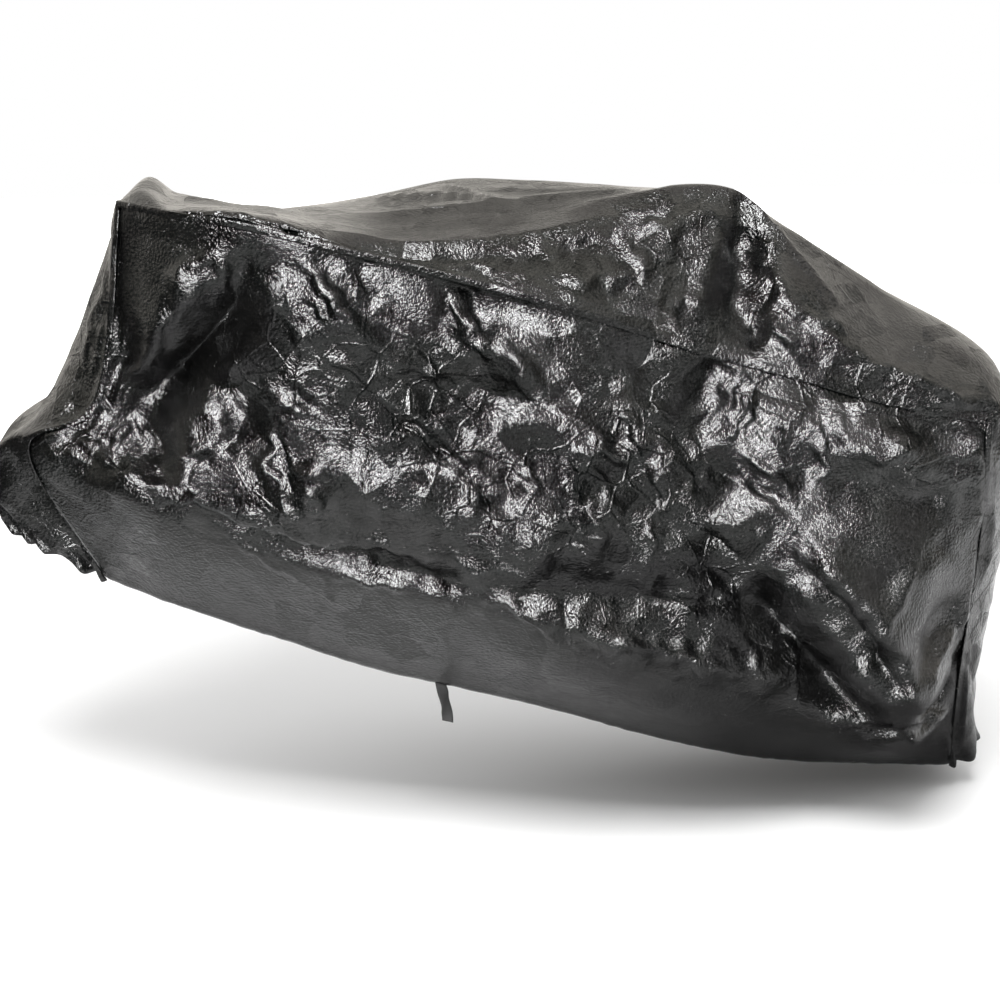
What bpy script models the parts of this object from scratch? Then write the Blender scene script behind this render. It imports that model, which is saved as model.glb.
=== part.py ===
"""A fitted cover for a bicycle, as it hangs over the machine while that stands on its side stand.

The cover is a bag of coated woven cloth, open below. A maker cuts it as three pieces and a strap:
the side panel that faces the viewer, the side panel behind it, and one long gusset that closes the
front, the top and the rear between them. The bicycle is not part of it.

Lengths are metres. The tables below are measured from the floor: x runs rearwards from the middle
of the wheelbase, y away from the viewer and z up. The finished solids are then moved so that the
place under the top that sits on the saddle is the origin.
"""

from collections import namedtuple

import bmesh
import bpy
import numpy as np
from mathutils import Vector

# ------------------------------------------------------------------ driving sizes

SADDLE_REST = (0.380, -0.140, 1.112)  # the underside of the top, over the saddle
LEAN = 0.14  # the machine leans this much towards the viewer for each metre of height

SHEET = 0.002  # thickness of the doubled, coated cloth
SEAM_GAP = 0.0009  # air between the gusset and the panel that it laps
SEAM_LAP = 0.010  # how far the gusset's edge hangs over the panel's edge
SEAM_RISE = 0.005  # how far the gusset turns in beyond the panel's edge
FLAT_STRIP = 0.016  # the panel stays straight for this far below its edge

NEAR_STEPS = 6  # columns between two stations of the near side
FAR_STEPS = 3  # and of the far side
NEAR_ROWS = (12, 10, 10)  # rows from seam to waist, waist to belly, belly to hem
FAR_ROWS = (6, 5, 5)
ACROSS = (3, 2, 2, 2)  # cells from seam to shoulder, to crown, to shoulder, to seam

STRAP_WIDTH = 0.020
STRAP_THICK = 0.0016
STRAP_X = -0.125  # where it is sewn to the near hem
STRAP_HIDDEN = 0.016  # how much of it lies behind the hem
STRAP_HANG = 0.072  # and how much hangs free
STRAP_SWAY = 0.012  # its end swings rearwards by this much
STRAP_TURN = 1.0  # and its middle turns by this angle, in radians
STRAP_STEPS = 14

# How much lower than the near seam the far seam runs at each station.
FAR_SEAM_DROP = (0.035, 0.060, 0.090, 0.070, 0.030, 0.010, 0.0, 0.0, 0.0, 0.0, 0.010, 0.020)

# ------------------------------------------------------------------ the near side panel

Rails = namedtuple("Rails", "seam waist belly hem")  # each (x, y, z), at one station

# One row for each station from the front edge to the rear edge.
NEAR = (
    Rails((-0.628, -0.300, 1.146), (-0.681, -0.260, 0.818), (-0.805, -0.215, 0.725), (-0.697, -0.130, 0.467)),
    Rails((-0.543, -0.380, 1.142), (-0.590, -0.285, 0.790), (-0.620, -0.345, 0.690), (-0.583, -0.200, 0.443)),
    Rails((-0.442, -0.440, 1.134), (-0.462, -0.365, 0.800), (-0.465, -0.375, 0.650), (-0.473, -0.220, 0.406)),
    Rails((-0.345, -0.460, 1.113), (-0.350, -0.415, 0.820), (-0.355, -0.390, 0.604), (-0.364, -0.230, 0.370)),
    Rails((-0.223, -0.440, 1.078), (-0.225, -0.425, 0.800), (-0.229, -0.400, 0.566), (-0.228, -0.240, 0.322)),
    Rails((-0.084, -0.420, 1.036), (-0.084, -0.415, 0.760), (-0.083, -0.405, 0.505), (-0.074, -0.250, 0.284)),
    Rails((0.060, -0.400, 0.989), (0.062, -0.410, 0.710), (0.068, -0.400, 0.425), (0.083, -0.250, 0.239)),
    Rails((0.208, -0.370, 0.935), (0.213, -0.385, 0.660), (0.223, -0.385, 0.360), (0.242, -0.250, 0.188)),
    Rails((0.334, -0.330, 0.885), (0.350, -0.365, 0.640), (0.368, -0.365, 0.320), (0.372, -0.240, 0.148)),
    Rails((0.455, -0.320, 0.850), (0.475, -0.380, 0.620), (0.505, -0.350, 0.290), (0.499, -0.220, 0.117)),
    Rails((0.605, -0.310, 0.802), (0.635, -0.375, 0.590), (0.670, -0.345, 0.245), (0.674, -0.180, 0.087)),
    Rails((0.800, -0.290, 0.757), (0.808, -0.265, 0.551), (0.796, -0.235, 0.300), (0.825, -0.120, 0.055)),
)

# ------------------------------------------------------------------ the gusset

Arch = namedtuple("Arch", "near crown far")  # two shoulders and the crown between them, (x, y, z)

FRONT_ARCHES = (  # from the hem up to the corner
    Arch((-0.795, -0.120, 0.520), (-0.875, -0.075, 0.555), (-0.810, -0.010, 0.520)),
    Arch((-0.865, -0.170, 0.700), (-0.885, -0.095, 0.670), (-0.860, -0.010, 0.700)),
    Arch((-0.740, -0.200, 0.825), (-0.770, -0.115, 0.803), (-0.735, -0.030, 0.810)),
)
TOP_ARCHES = (  # from the front corner to the rear corner, at the near side's stations
    Arch((-0.624, -0.240, 1.140), (-0.618, -0.150, 1.138), (-0.628, -0.075, 1.115)),
    Arch((-0.541, -0.350, 1.144), (-0.541, -0.160, 1.136), (-0.545, -0.010, 1.105)),
    Arch((-0.442, -0.405, 1.148), (-0.442, -0.200, 1.116), (-0.442, 0.040, 1.066)),
    Arch((-0.345, -0.420, 1.130), (-0.345, -0.150, 1.110), (-0.350, 0.080, 1.060)),
    Arch((-0.222, -0.390, 1.078), (-0.220, -0.120, 1.116), (-0.220, 0.100, 1.080)),
    Arch((-0.080, -0.345, 1.066), (-0.080, -0.080, 1.130), (-0.080, 0.120, 1.092)),
    Arch((0.070, -0.280, 1.076), (0.070, -0.080, 1.125), (0.070, 0.110, 1.085)),
    Arch((0.212, -0.225, 1.100), (0.210, -0.110, 1.126), (0.210, 0.060, 1.085)),
    Arch((0.372, -0.190, 1.112), (0.380, -0.140, 1.114), (0.380, -0.030, 1.072)),
    Arch((0.475, -0.265, 0.975), (0.480, -0.130, 1.052), (0.475, 0.010, 1.000)),
    Arch((0.630, -0.280, 0.860), (0.630, -0.110, 0.957), (0.630, 0.020, 0.900)),
    Arch((0.835, -0.250, 0.780), (0.850, -0.130, 0.818), (0.825, 0.020, 0.760)),
)
REAR_ARCHES = (  # from the corner down to the hem
    Arch((0.870, -0.195, 0.560), (0.888, -0.085, 0.570), (0.866, 0.040, 0.560)),
    Arch((0.840, -0.180, 0.300), (0.848, -0.060, 0.305), (0.836, 0.050, 0.300)),
    Arch((0.866, -0.090, 0.065), (0.886, -0.020, 0.070), (0.862, 0.060, 0.065)),
)

# ------------------------------------------------------------------ folds

# A fold runs along a path of (x, z) points on a side. push lifts a ridge, or sinks a valley if it
# is negative. step raises the side on the path's left and sinks the other. slip slides the raised
# side over the sunken one.
Fold = namedtuple("Fold", "name path width push step slip", defaults=(0.0, 0.0, 0.0))

NEAR_FOLDS = (
    Fold("lever_ridge", ((-0.470, 1.085), (-0.535, 1.000), (-0.605, 0.895), (-0.655, 0.825)), 0.036, 0.044),
    Fold("lever_scoop", ((-0.430, 1.060), (-0.460, 0.975), (-0.540, 0.870), (-0.630, 0.795)), 0.036, -0.064),
    Fold("grip_lobe", ((-0.405, 1.080), (-0.345, 0.990), (-0.310, 0.915)), 0.028, 0.016),
    Fold("grip_fall", ((-0.330, 1.090), (-0.280, 0.995), (-0.225, 0.900)), 0.030, 0.024),
    Fold("shelf_side", ((-0.585, 0.790), (-0.575, 0.690)), 0.032, -0.030),
    Fold("front_drape", ((-0.480, 0.880), (-0.520, 0.790), (-0.545, 0.720)), 0.032, 0.020),
    Fold("cross_crease", ((-0.225, 0.850), (-0.125, 0.765), (-0.010, 0.670), (0.090, 0.600)), 0.030, -0.024),
    Fold("cross_ridge", ((-0.150, 0.890), (-0.040, 0.790), (0.060, 0.700)), 0.032, 0.018),
    Fold("mid_drape", ((-0.100, 1.015), (-0.050, 0.935), (0.030, 0.850)), 0.030, 0.018),
    Fold("front_roll", ((-0.390, 0.855), (-0.330, 0.760), (-0.350, 0.640)), 0.032, 0.018),
    Fold("hem_roll", ((-0.490, 0.635), (-0.360, 0.590), (-0.190, 0.550), (0.000, 0.510)), 0.024, -0.022),
    Fold("lower_roll", ((-0.070, 0.530), (0.090, 0.455), (0.240, 0.390), (0.410, 0.350)), 0.028, 0.026),
    Fold("lower_crease", ((0.070, 0.545), (0.180, 0.500), (0.300, 0.475)), 0.030, -0.020),
    Fold("fan_ridge", ((0.165, 0.845), (0.215, 0.760), (0.300, 0.620)), 0.034, 0.024),
    Fold("saddle_valley", ((0.320, 0.880), (0.290, 0.810), (0.262, 0.765)), 0.034, -0.044),
    Fold("rear_brow", ((0.370, 0.830), (0.540, 0.765), (0.740, 0.700)), 0.036, 0.020),
    Fold("rear_pit", ((0.560, 0.700), (0.660, 0.640), (0.760, 0.640)), 0.036, -0.022),
    Fold("flap", ((0.650, 0.250), (0.560, 0.390), (0.460, 0.500), (0.380, 0.560)), 0.052, 0.0, -0.058, 0.024),
    Fold("flap_crown", ((0.640, 0.540), (0.700, 0.400)), 0.080, 0.020),
    Fold("rear_tuck", ((0.650, 0.250), (0.720, 0.290), (0.810, 0.330)), 0.040, 0.0, 0.046, 0.016),
)
FAR_FOLDS = (
    Fold("grip_drape", ((-0.320, 1.040), (-0.240, 0.880), (-0.180, 0.760)), 0.050, 0.022),
    Fold("front_scoop", ((-0.440, 0.980), (-0.540, 0.840), (-0.640, 0.780)), 0.055, -0.040),
    Fold("mid_drape", ((0.000, 0.920), (0.060, 0.780), (0.160, 0.640)), 0.050, 0.018),
    Fold("belly_roll", ((-0.420, 0.590), (-0.100, 0.500), (0.200, 0.400)), 0.050, 0.018),
    Fold("saddle_valley", ((0.350, 0.860), (0.310, 0.700)), 0.050, -0.030),
    Fold("rear_roll", ((0.420, 0.520), (0.560, 0.380), (0.680, 0.280)), 0.055, -0.028),
)
GUSSET_FOLDS = (  # on the part of the gusset that hangs over the near side
    Fold("saddle_valley", ((0.385, 1.095), (0.362, 1.000), (0.330, 0.890)), 0.028, -0.055),
    Fold("saddle_ridge", ((0.350, 1.090), (0.305, 0.990), (0.262, 0.930)), 0.024, 0.018),
    Fold("rear_ridge", ((0.400, 1.080), (0.435, 0.980), (0.470, 0.910)), 0.024, 0.016),
)

END_SHARE = 0.25  # a fold fades over this share of its length at each end
END_FADE = 0.35  # how much of a fold is left at its two ends
EDGE_CALM = 0.060  # folds die out over this distance from a sewn edge
FOLD_START = 0.67  # the gusset's folds are whole from this share of the way up to its shoulder
EVENING_ROUNDS = 4

BLACK_POLYTHENE = (0.012, 0.012, 0.013)
STRAP_BLACK = (0.010, 0.010, 0.010)


# ------------------------------------------------------------------ drawing the shapes


def through(points, at):
    """The place at each value of `at` on a smooth curve that passes points[0], points[1] and so on."""
    points = np.asarray(points, float)
    ends = np.vstack([2 * points[0] - points[1], points, 2 * points[-1] - points[-2]])
    at = np.asarray(at, float)
    first = np.clip(np.floor(at).astype(int), 0, len(points) - 2)
    t = (at - first)[:, None]
    p0, p1, p2, p3 = (ends[first + k] for k in range(4))
    slope_in, slope_out = (p2 - p0) / 2, (p3 - p1) / 2
    chord = p2 - p1
    square = 3 * chord - 2 * slope_in - slope_out
    cube = slope_in + slope_out - 2 * chord
    return p1 + slope_in * t + square * t**2 + cube * t**3


def steps(counts):
    """Parameter values that cut each unit interval into its own number of equal steps."""
    cuts = [k + np.arange(count) / count for k, count in enumerate(counts)]
    return np.append(np.concatenate(cuts), len(counts))


def unit(vectors):
    return vectors / np.linalg.norm(vectors, axis=-1, keepdims=True)


def from_path(x, z, path):
    """Distance from a path of (x, z) points, positive on its left, and a weight that fades at its ends."""
    nearest = np.full(x.shape, np.inf)
    side = np.zeros(x.shape)
    legs = [np.array(b) - np.array(a) for a, b in zip(path, path[1:])]
    lengths = [np.hypot(*leg) for leg in legs]
    run, whole = 0.0, sum(lengths)
    along = np.zeros(x.shape)
    for (px, pz), leg, length in zip(path, legs, lengths):
        dx, dz = x - px, z - pz
        t = np.clip((dx * leg[0] + dz * leg[1]) / length**2, 0, 1)
        ox, oz = dx - t * leg[0], dz - t * leg[1]
        gap = np.hypot(ox, oz)
        closer = gap < nearest
        nearest = np.where(closer, gap, nearest)
        side = np.where(closer, np.sign(leg[0] * oz - leg[1] * ox), side)
        along = np.where(closer, (run + t * length) / whole, along)
        run += length
    fade = np.clip(along / END_SHARE, END_FADE, 1) * np.clip((1 - along) / END_SHARE, END_FADE, 1)
    return nearest * side, fade


def fold(points, folds, outward, weight):
    """Moves a grid of points by every fold. outward is -1 on the near side and 1 on the far side."""
    x, z = points[..., 0].copy(), points[..., 2].copy()
    moved = points.copy()
    for one in folds:
        distance, fade = from_path(x, z, one.path)
        reach = distance / one.width
        bell = np.exp(-(reach**2)) * fade * weight
        both = (np.exp(-((reach - 1) ** 2)) - np.exp(-((reach + 1) ** 2))) * fade * weight
        moved[..., 1] += outward * (one.push * bell + one.step * both)
        heading = np.array(one.path[-1]) - np.array(one.path[0])
        across = np.array([heading[1], -heading[0]]) / np.hypot(*heading) * np.sign(one.step)
        moved[..., 0] += across[0] * one.slip * bell
        moved[..., 2] += across[1] * one.slip * bell
    return moved


def side_grid(stations, column_steps, row_steps, folds, outward):
    """A side panel's outer face as a grid of points: rows from seam to hem, columns from front to rear."""
    columns = steps((column_steps,) * (len(stations) - 1))
    rails = [through([getattr(row, rail) for row in stations], columns) for rail in Rails._fields]
    rows = steps(row_steps)
    grid = np.stack([through([rail[k] for rail in rails], rows) for k in range(len(columns))], axis=1)
    edge = np.minimum.reduce(
        [
            np.linalg.norm(grid - grid[:1], axis=-1),
            np.linalg.norm(grid - grid[:, :1], axis=-1),
            np.linalg.norm(grid - grid[:, -1:], axis=-1),
        ]
    )
    grid = fold(grid, folds, outward, np.clip(edge / EDGE_CALM, 0, 1) ** 2)
    return with_flat_strip(grid)


def evened(directions):
    """Unit directions, averaged with their neighbours so that a strip along them does not twist."""
    for _ in range(EVENING_ROUNDS):
        padded = np.vstack([directions[:1], directions, directions[-1:]])
        directions = unit(padded[:-2] + 2 * directions + padded[2:])
    return directions


def with_flat_strip(grid):
    """Sets the second row and column so that a straight strip runs inside the three sewn edges."""
    flat = grid.copy()
    down = FLAT_STRIP * evened(unit(grid[2] - grid[0]))
    flat[1] = grid[0] + down
    for edge, inner, beyond in ((0, 1, 2), (-1, -2, -3)):
        inwards = FLAT_STRIP * evened(unit(grid[:, beyond] - grid[:, edge]))
        flat[2:, inner] = grid[2:, edge] + inwards[2:]
        flat[0, inner] = grid[0, edge] + inwards[0]
        flat[1, inner] = grid[0, edge] + inwards[0] + down[edge]
    return flat


def mirrored(stations):
    """The same rails on the far side of the leaning machine, with the seam lowered."""

    def across(point, drop=0.0):
        x, y, z = point
        return (x, -2 * LEAN * z - y, z - drop)

    return [
        Rails(across(row.seam, drop), across(row.waist), across(row.belly), across(row.hem))
        for row, drop in zip(stations, FAR_SEAM_DROP)
    ]


def sewn_edge(grid):
    """Points, inward directions and normals along a sewn edge: up the front, along the top, down the rear."""
    front, top, rear = grid[:0:-1, 0], grid[0], grid[1:, -1]
    edge = np.vstack([front, top, rear])
    inner = np.vstack([grid[:0:-1, 1], [grid[1, 1]], grid[1, 1:-1], [grid[1, -2]], grid[1:, -2]])
    inward = inner - edge
    before, after = np.vstack([edge[:1], edge[:-1]]), np.vstack([edge[1:], edge[-1:]])
    normal = unit(np.cross(unit(inward), unit(after - before)))
    return edge, inward / FLAT_STRIP, normal


def halved(points):
    """Puts every odd point midway between its neighbours, so that a coarser edge can follow the same line."""
    points = points.copy()
    points[1:-1:2] = (points[:-2:2] + points[2::2]) / 2
    return points


def gusset_grid(near_grid, far_grid):
    """The gusset's outer face: rows from the near lap to the far lap, columns from front hem to rear hem."""
    near_edge, near_in, near_out = sewn_edge(near_grid)
    far_edge, far_in, far_out = (np.repeat(a, 2, axis=0)[:-1] for a in sewn_edge(far_grid))
    far_edge, far_in, far_out = halved(far_edge), halved(far_in), halved(far_out)
    far_out = -far_out
    down, along = NEAR_ROWS[::-1], (NEAR_STEPS,) * (len(NEAR) - 1)
    places = steps(down + along + NEAR_ROWS)
    arches = FRONT_ARCHES + TOP_ARCHES + REAR_ARCHES
    rails = [through([getattr(row, rail) for row in arches], places) for rail in Arch._fields]
    lift = SEAM_GAP + SHEET
    near_rim = near_edge + lift * near_out - SEAM_RISE * near_in
    far_rim = far_edge + lift * far_out - SEAM_RISE * far_in
    ribs = [near_rim, *rails, far_rim]
    rows = steps(ACROSS)
    grid = np.stack([through([rib[k] for rib in ribs], rows) for k in range(len(places))], axis=1)
    hanging = np.clip(2 - rows, 0, 1) * np.clip(rows / FOLD_START, 0, 1)
    grid = fold(grid, GUSSET_FOLDS, -1, hanging[:, None])
    near_lap = near_rim + (SEAM_RISE + SEAM_LAP) * near_in
    far_lap = far_rim + (SEAM_RISE + SEAM_LAP) * far_in
    return np.concatenate([near_lap[None], grid, far_lap[None]])


def at_x(row, x):
    """The point of a row of points at the given x."""
    return np.array([np.interp(x, row[:, 0], row[:, axis]) for axis in range(3)])


def strap_grid(panel):
    """The strap's front face: flat behind the panel's hem, then twisting as it hangs from there."""
    hem = at_x(panel[-1], STRAP_X)
    up = unit(at_x(panel[-2], STRAP_X) - hem)
    along = unit(at_x(panel[-1], STRAP_X + STRAP_WIDTH) - hem)
    outward = unit(np.cross(along, up))
    start = hem - (SHEET + SEAM_GAP) * outward
    sewn = start + np.linspace(STRAP_HIDDEN, 0, 3)[:, None] * up
    drop = np.linspace(0, 1, STRAP_STEPS + 1)[1:, None]
    sway = STRAP_SWAY * np.sin(np.pi / 2 * drop)
    hanging = start + drop * STRAP_HANG * np.array([0, 0, -1]) + sway * np.array([1, 0, 0])
    turn = STRAP_TURN * np.sin(np.pi * drop) ** 2
    sewn_way = np.repeat(along[None], len(sewn), axis=0)
    hanging_way = np.cos(turn) * along - np.sin(turn) * outward
    half = STRAP_WIDTH / 2 * np.vstack([sewn_way, hanging_way])
    middle = np.vstack([sewn, hanging])
    return np.stack([middle - half, middle + half], axis=1)[::-1]


# ------------------------------------------------------------------ making the objects


def material(name, colour, roughness):
    made = bpy.data.materials.new(name)
    made.use_nodes = True
    shader = made.node_tree.nodes["Principled BSDF"]
    shader.inputs["Base Color"].default_value = (*colour, 1)
    shader.inputs["Roughness"].default_value = roughness
    shader.inputs["Metallic"].default_value = 0
    return made


def sheet_object(name, points, thickness, finish, collection):
    """A grid primitive laid on the given points, rows upwards, and thickened inwards."""
    rows, columns = points.shape[0] - 1, points.shape[1] - 1
    mesh = bpy.data.meshes.new(name)
    shape = bmesh.new()
    bmesh.ops.create_grid(shape, x_segments=columns, y_segments=rows, size=0.5)
    for vertex in shape.verts:
        column = round((vertex.co.x + 0.5) * columns)
        row = round((vertex.co.y + 0.5) * rows)
        vertex.co = Vector(points[row, column]) - Vector(SADDLE_REST)
    shape.to_mesh(mesh)
    shape.free()
    mesh.shade_smooth()
    mesh.materials.append(finish)
    made = bpy.data.objects.new(name, mesh)
    thicken = made.modifiers.new("Thickness", "SOLIDIFY")
    thicken.thickness = thickness
    thicken.offset = -1
    collection.objects.link(made)
    return made


def build():
    for old in list(bpy.data.objects):
        bpy.data.objects.remove(old)
    cover = bpy.data.collections.new("bicycle_cover")
    bpy.context.scene.collection.children.link(cover)
    polythene = material("black_woven_polythene", BLACK_POLYTHENE, 0.3)
    webbing = material("black_webbing", STRAP_BLACK, 0.7)

    near = side_grid(NEAR, NEAR_STEPS, NEAR_ROWS, NEAR_FOLDS, -1)
    far = side_grid(mirrored(NEAR), FAR_STEPS, FAR_ROWS, FAR_FOLDS, 1)
    gusset = gusset_grid(near, far)

    sheet_object("near_side_panel", near[::-1], SHEET, polythene, cover)
    sheet_object("far_side_panel", far[::-1, ::-1], SHEET, polythene, cover)
    sheet_object("gusset", gusset, SHEET, polythene, cover)

    sheet_object("hem_strap", strap_grid(near), STRAP_THICK, webbing, cover)


build()
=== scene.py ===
"""The looks of a fitted bicycle cover of black coated woven polythene.

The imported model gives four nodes: two side panels, the gusset that joins them and a strap at the
hem. Each is replaced here by a finer sheet on the same rails and folds, with its creases, crumple,
gathered hem and woven finish. Tables are in metres, measured from the floor as in the part's source:
x runs rearwards, y away from the side that the machine leans to, and z up. sheet_mesh moves every
piece from there to the part's own frame.
"""

import logging
import math
from dataclasses import dataclass
from enum import Enum
from typing import NamedTuple

import bpy
import numpy as np
from mathutils import Matrix, Vector


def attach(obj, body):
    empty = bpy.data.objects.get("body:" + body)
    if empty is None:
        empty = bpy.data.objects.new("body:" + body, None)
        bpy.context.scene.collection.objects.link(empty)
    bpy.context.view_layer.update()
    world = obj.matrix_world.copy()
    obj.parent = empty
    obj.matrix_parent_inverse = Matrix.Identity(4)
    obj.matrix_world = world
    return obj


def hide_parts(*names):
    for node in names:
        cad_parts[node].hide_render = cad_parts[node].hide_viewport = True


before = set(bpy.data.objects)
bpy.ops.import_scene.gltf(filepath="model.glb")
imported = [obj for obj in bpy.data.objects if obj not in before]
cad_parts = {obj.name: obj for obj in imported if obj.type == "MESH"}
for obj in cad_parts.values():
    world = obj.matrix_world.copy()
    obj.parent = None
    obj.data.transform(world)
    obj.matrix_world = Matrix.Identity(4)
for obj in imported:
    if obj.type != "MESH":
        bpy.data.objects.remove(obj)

log = logging.getLogger("bicycle_cover")

Grid = np.ndarray  # points as rows x columns x 3, or one number for each point
Path = tuple[tuple[float, float], ...]
Place = tuple[float, float, float]
Node = bpy.types.Node
Socket = bpy.types.NodeSocket
Tree = bpy.types.NodeTree

SADDLE_REST: Place = (0.380, -0.140, 1.112)  # the part's origin, measured from the floor
LEAN = 0.14  # how far the machine's middle plane leans over, for each metre of height
SHEET = 0.0009  # the cloth's thickness
SEAM_GAP = 0.0008  # the air between a panel and the gusset's edge, which is sewn over it
SEAM_LAP = 0.007  # how far that edge reaches onto the panel
SEAM_RISE = 0.003  # and how far above the panel's own edge the gusset starts


# ------------------------------------------------------------------ the drawn shape


class Rails(NamedTuple):
    """A side panel at one station: its points at the seam, waist, belly and hem."""

    seam: Place
    waist: Place
    belly: Place
    hem: Place


class Arch(NamedTuple):
    """The gusset at one station: the near shoulder, the crown and the far shoulder."""

    near: Place
    crown: Place
    far: Place


class Fold(NamedTuple):
    """A large fold along a path of (x, z) points.

    Push lifts it, step parts its two sides, and slip shifts it sideways so that one side laps the
    other, to the path's right where it is positive.
    """

    name: str
    path: Path
    width: float
    push: float = 0.0
    step: float = 0.0
    slip: float = 0.0


class Profile(Enum):
    """The section of a crease."""

    LEDGE = "ledge"  # a broad face on its upper left, a short one on its lower right
    VEE = "vee"  # two equal faces
    ROLL = "roll"  # rounded


class Crease(NamedTuple):
    """A sharp crease along a path of (x, z) points, with flat faces this wide and a crest this high."""

    name: str
    path: Path
    width: float
    push: float
    profile: Profile = Profile.LEDGE


class Calm(NamedTuple):
    """An oval of the cloth, by its centre and half axes, and the share of the crumple that it has."""

    name: str
    centre: tuple[float, float]
    reach: tuple[float, float]
    share: float


NEAR_RAILS = (  # one row for each station from the front edge to the rear edge
    Rails((-0.628, -0.300, 1.146), (-0.681, -0.260, 0.818), (-0.805, -0.215, 0.725), (-0.697, -0.130, 0.467)),
    Rails((-0.543, -0.380, 1.142), (-0.590, -0.285, 0.790), (-0.620, -0.345, 0.690), (-0.583, -0.200, 0.443)),
    Rails((-0.442, -0.440, 1.134), (-0.462, -0.365, 0.800), (-0.465, -0.375, 0.650), (-0.473, -0.220, 0.406)),
    Rails((-0.345, -0.460, 1.113), (-0.350, -0.415, 0.820), (-0.355, -0.390, 0.604), (-0.364, -0.230, 0.370)),
    Rails((-0.223, -0.440, 1.078), (-0.225, -0.425, 0.800), (-0.229, -0.400, 0.566), (-0.228, -0.240, 0.322)),
    Rails((-0.084, -0.420, 1.036), (-0.084, -0.415, 0.760), (-0.083, -0.405, 0.505), (-0.074, -0.250, 0.284)),
    Rails((0.060, -0.400, 0.989), (0.062, -0.410, 0.710), (0.068, -0.400, 0.425), (0.083, -0.250, 0.239)),
    Rails((0.208, -0.370, 0.935), (0.213, -0.385, 0.660), (0.223, -0.385, 0.360), (0.242, -0.250, 0.188)),
    Rails((0.334, -0.330, 0.885), (0.350, -0.365, 0.640), (0.368, -0.365, 0.320), (0.372, -0.240, 0.148)),
    Rails((0.455, -0.320, 0.850), (0.475, -0.380, 0.620), (0.505, -0.350, 0.290), (0.499, -0.220, 0.117)),
    Rails((0.605, -0.310, 0.802), (0.635, -0.375, 0.590), (0.670, -0.345, 0.245), (0.674, -0.180, 0.087)),
    Rails((0.800, -0.290, 0.757), (0.808, -0.265, 0.551), (0.796, -0.235, 0.300), (0.825, -0.120, 0.055)),
)
# How much lower than the mirror image of the near seam the far seam runs at each station.
FAR_SEAM_DROP = (0.035, 0.060, 0.090, 0.070, 0.030, 0.010, 0.0, 0.0, 0.0, 0.0, 0.010, 0.020)

FRONT_ARCHES = (  # from the hem up to the corner
    Arch((-0.795, -0.120, 0.520), (-0.875, -0.075, 0.555), (-0.810, -0.010, 0.520)),
    Arch((-0.865, -0.170, 0.700), (-0.885, -0.095, 0.670), (-0.860, -0.010, 0.700)),
    Arch((-0.740, -0.200, 0.825), (-0.770, -0.115, 0.803), (-0.735, -0.030, 0.810)),
)
TOP_ARCHES = (  # from the front corner to the rear corner
    Arch((-0.624, -0.240, 1.140), (-0.618, -0.150, 1.138), (-0.628, -0.075, 1.115)),
    Arch((-0.541, -0.350, 1.144), (-0.541, -0.160, 1.136), (-0.545, -0.010, 1.105)),
    Arch((-0.442, -0.405, 1.148), (-0.442, -0.200, 1.116), (-0.442, 0.040, 1.066)),
    Arch((-0.345, -0.420, 1.130), (-0.345, -0.150, 1.110), (-0.350, 0.080, 1.060)),
    Arch((-0.222, -0.390, 1.078), (-0.220, -0.120, 1.116), (-0.220, 0.100, 1.080)),
    Arch((-0.080, -0.345, 1.066), (-0.080, -0.080, 1.130), (-0.080, 0.120, 1.092)),
    Arch((0.070, -0.280, 1.076), (0.070, -0.080, 1.125), (0.070, 0.110, 1.085)),
    Arch((0.212, -0.225, 1.100), (0.210, -0.110, 1.126), (0.210, 0.060, 1.085)),
    Arch((0.372, -0.190, 1.112), (0.380, -0.140, 1.114), (0.380, -0.030, 1.072)),
    Arch((0.475, -0.265, 0.975), (0.480, -0.130, 1.052), (0.475, 0.010, 1.000)),
    Arch((0.630, -0.280, 0.860), (0.630, -0.110, 0.957), (0.630, 0.020, 0.900)),
    Arch((0.835, -0.250, 0.780), (0.850, -0.130, 0.818), (0.825, 0.020, 0.760)),
)
REAR_ARCHES = (  # from the corner down to the hem
    Arch((0.870, -0.195, 0.560), (0.888, -0.085, 0.570), (0.866, 0.040, 0.560)),
    Arch((0.840, -0.180, 0.300), (0.848, -0.060, 0.305), (0.836, 0.050, 0.300)),
    Arch((0.866, -0.090, 0.065), (0.886, -0.020, 0.070), (0.862, 0.060, 0.065)),
)

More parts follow.
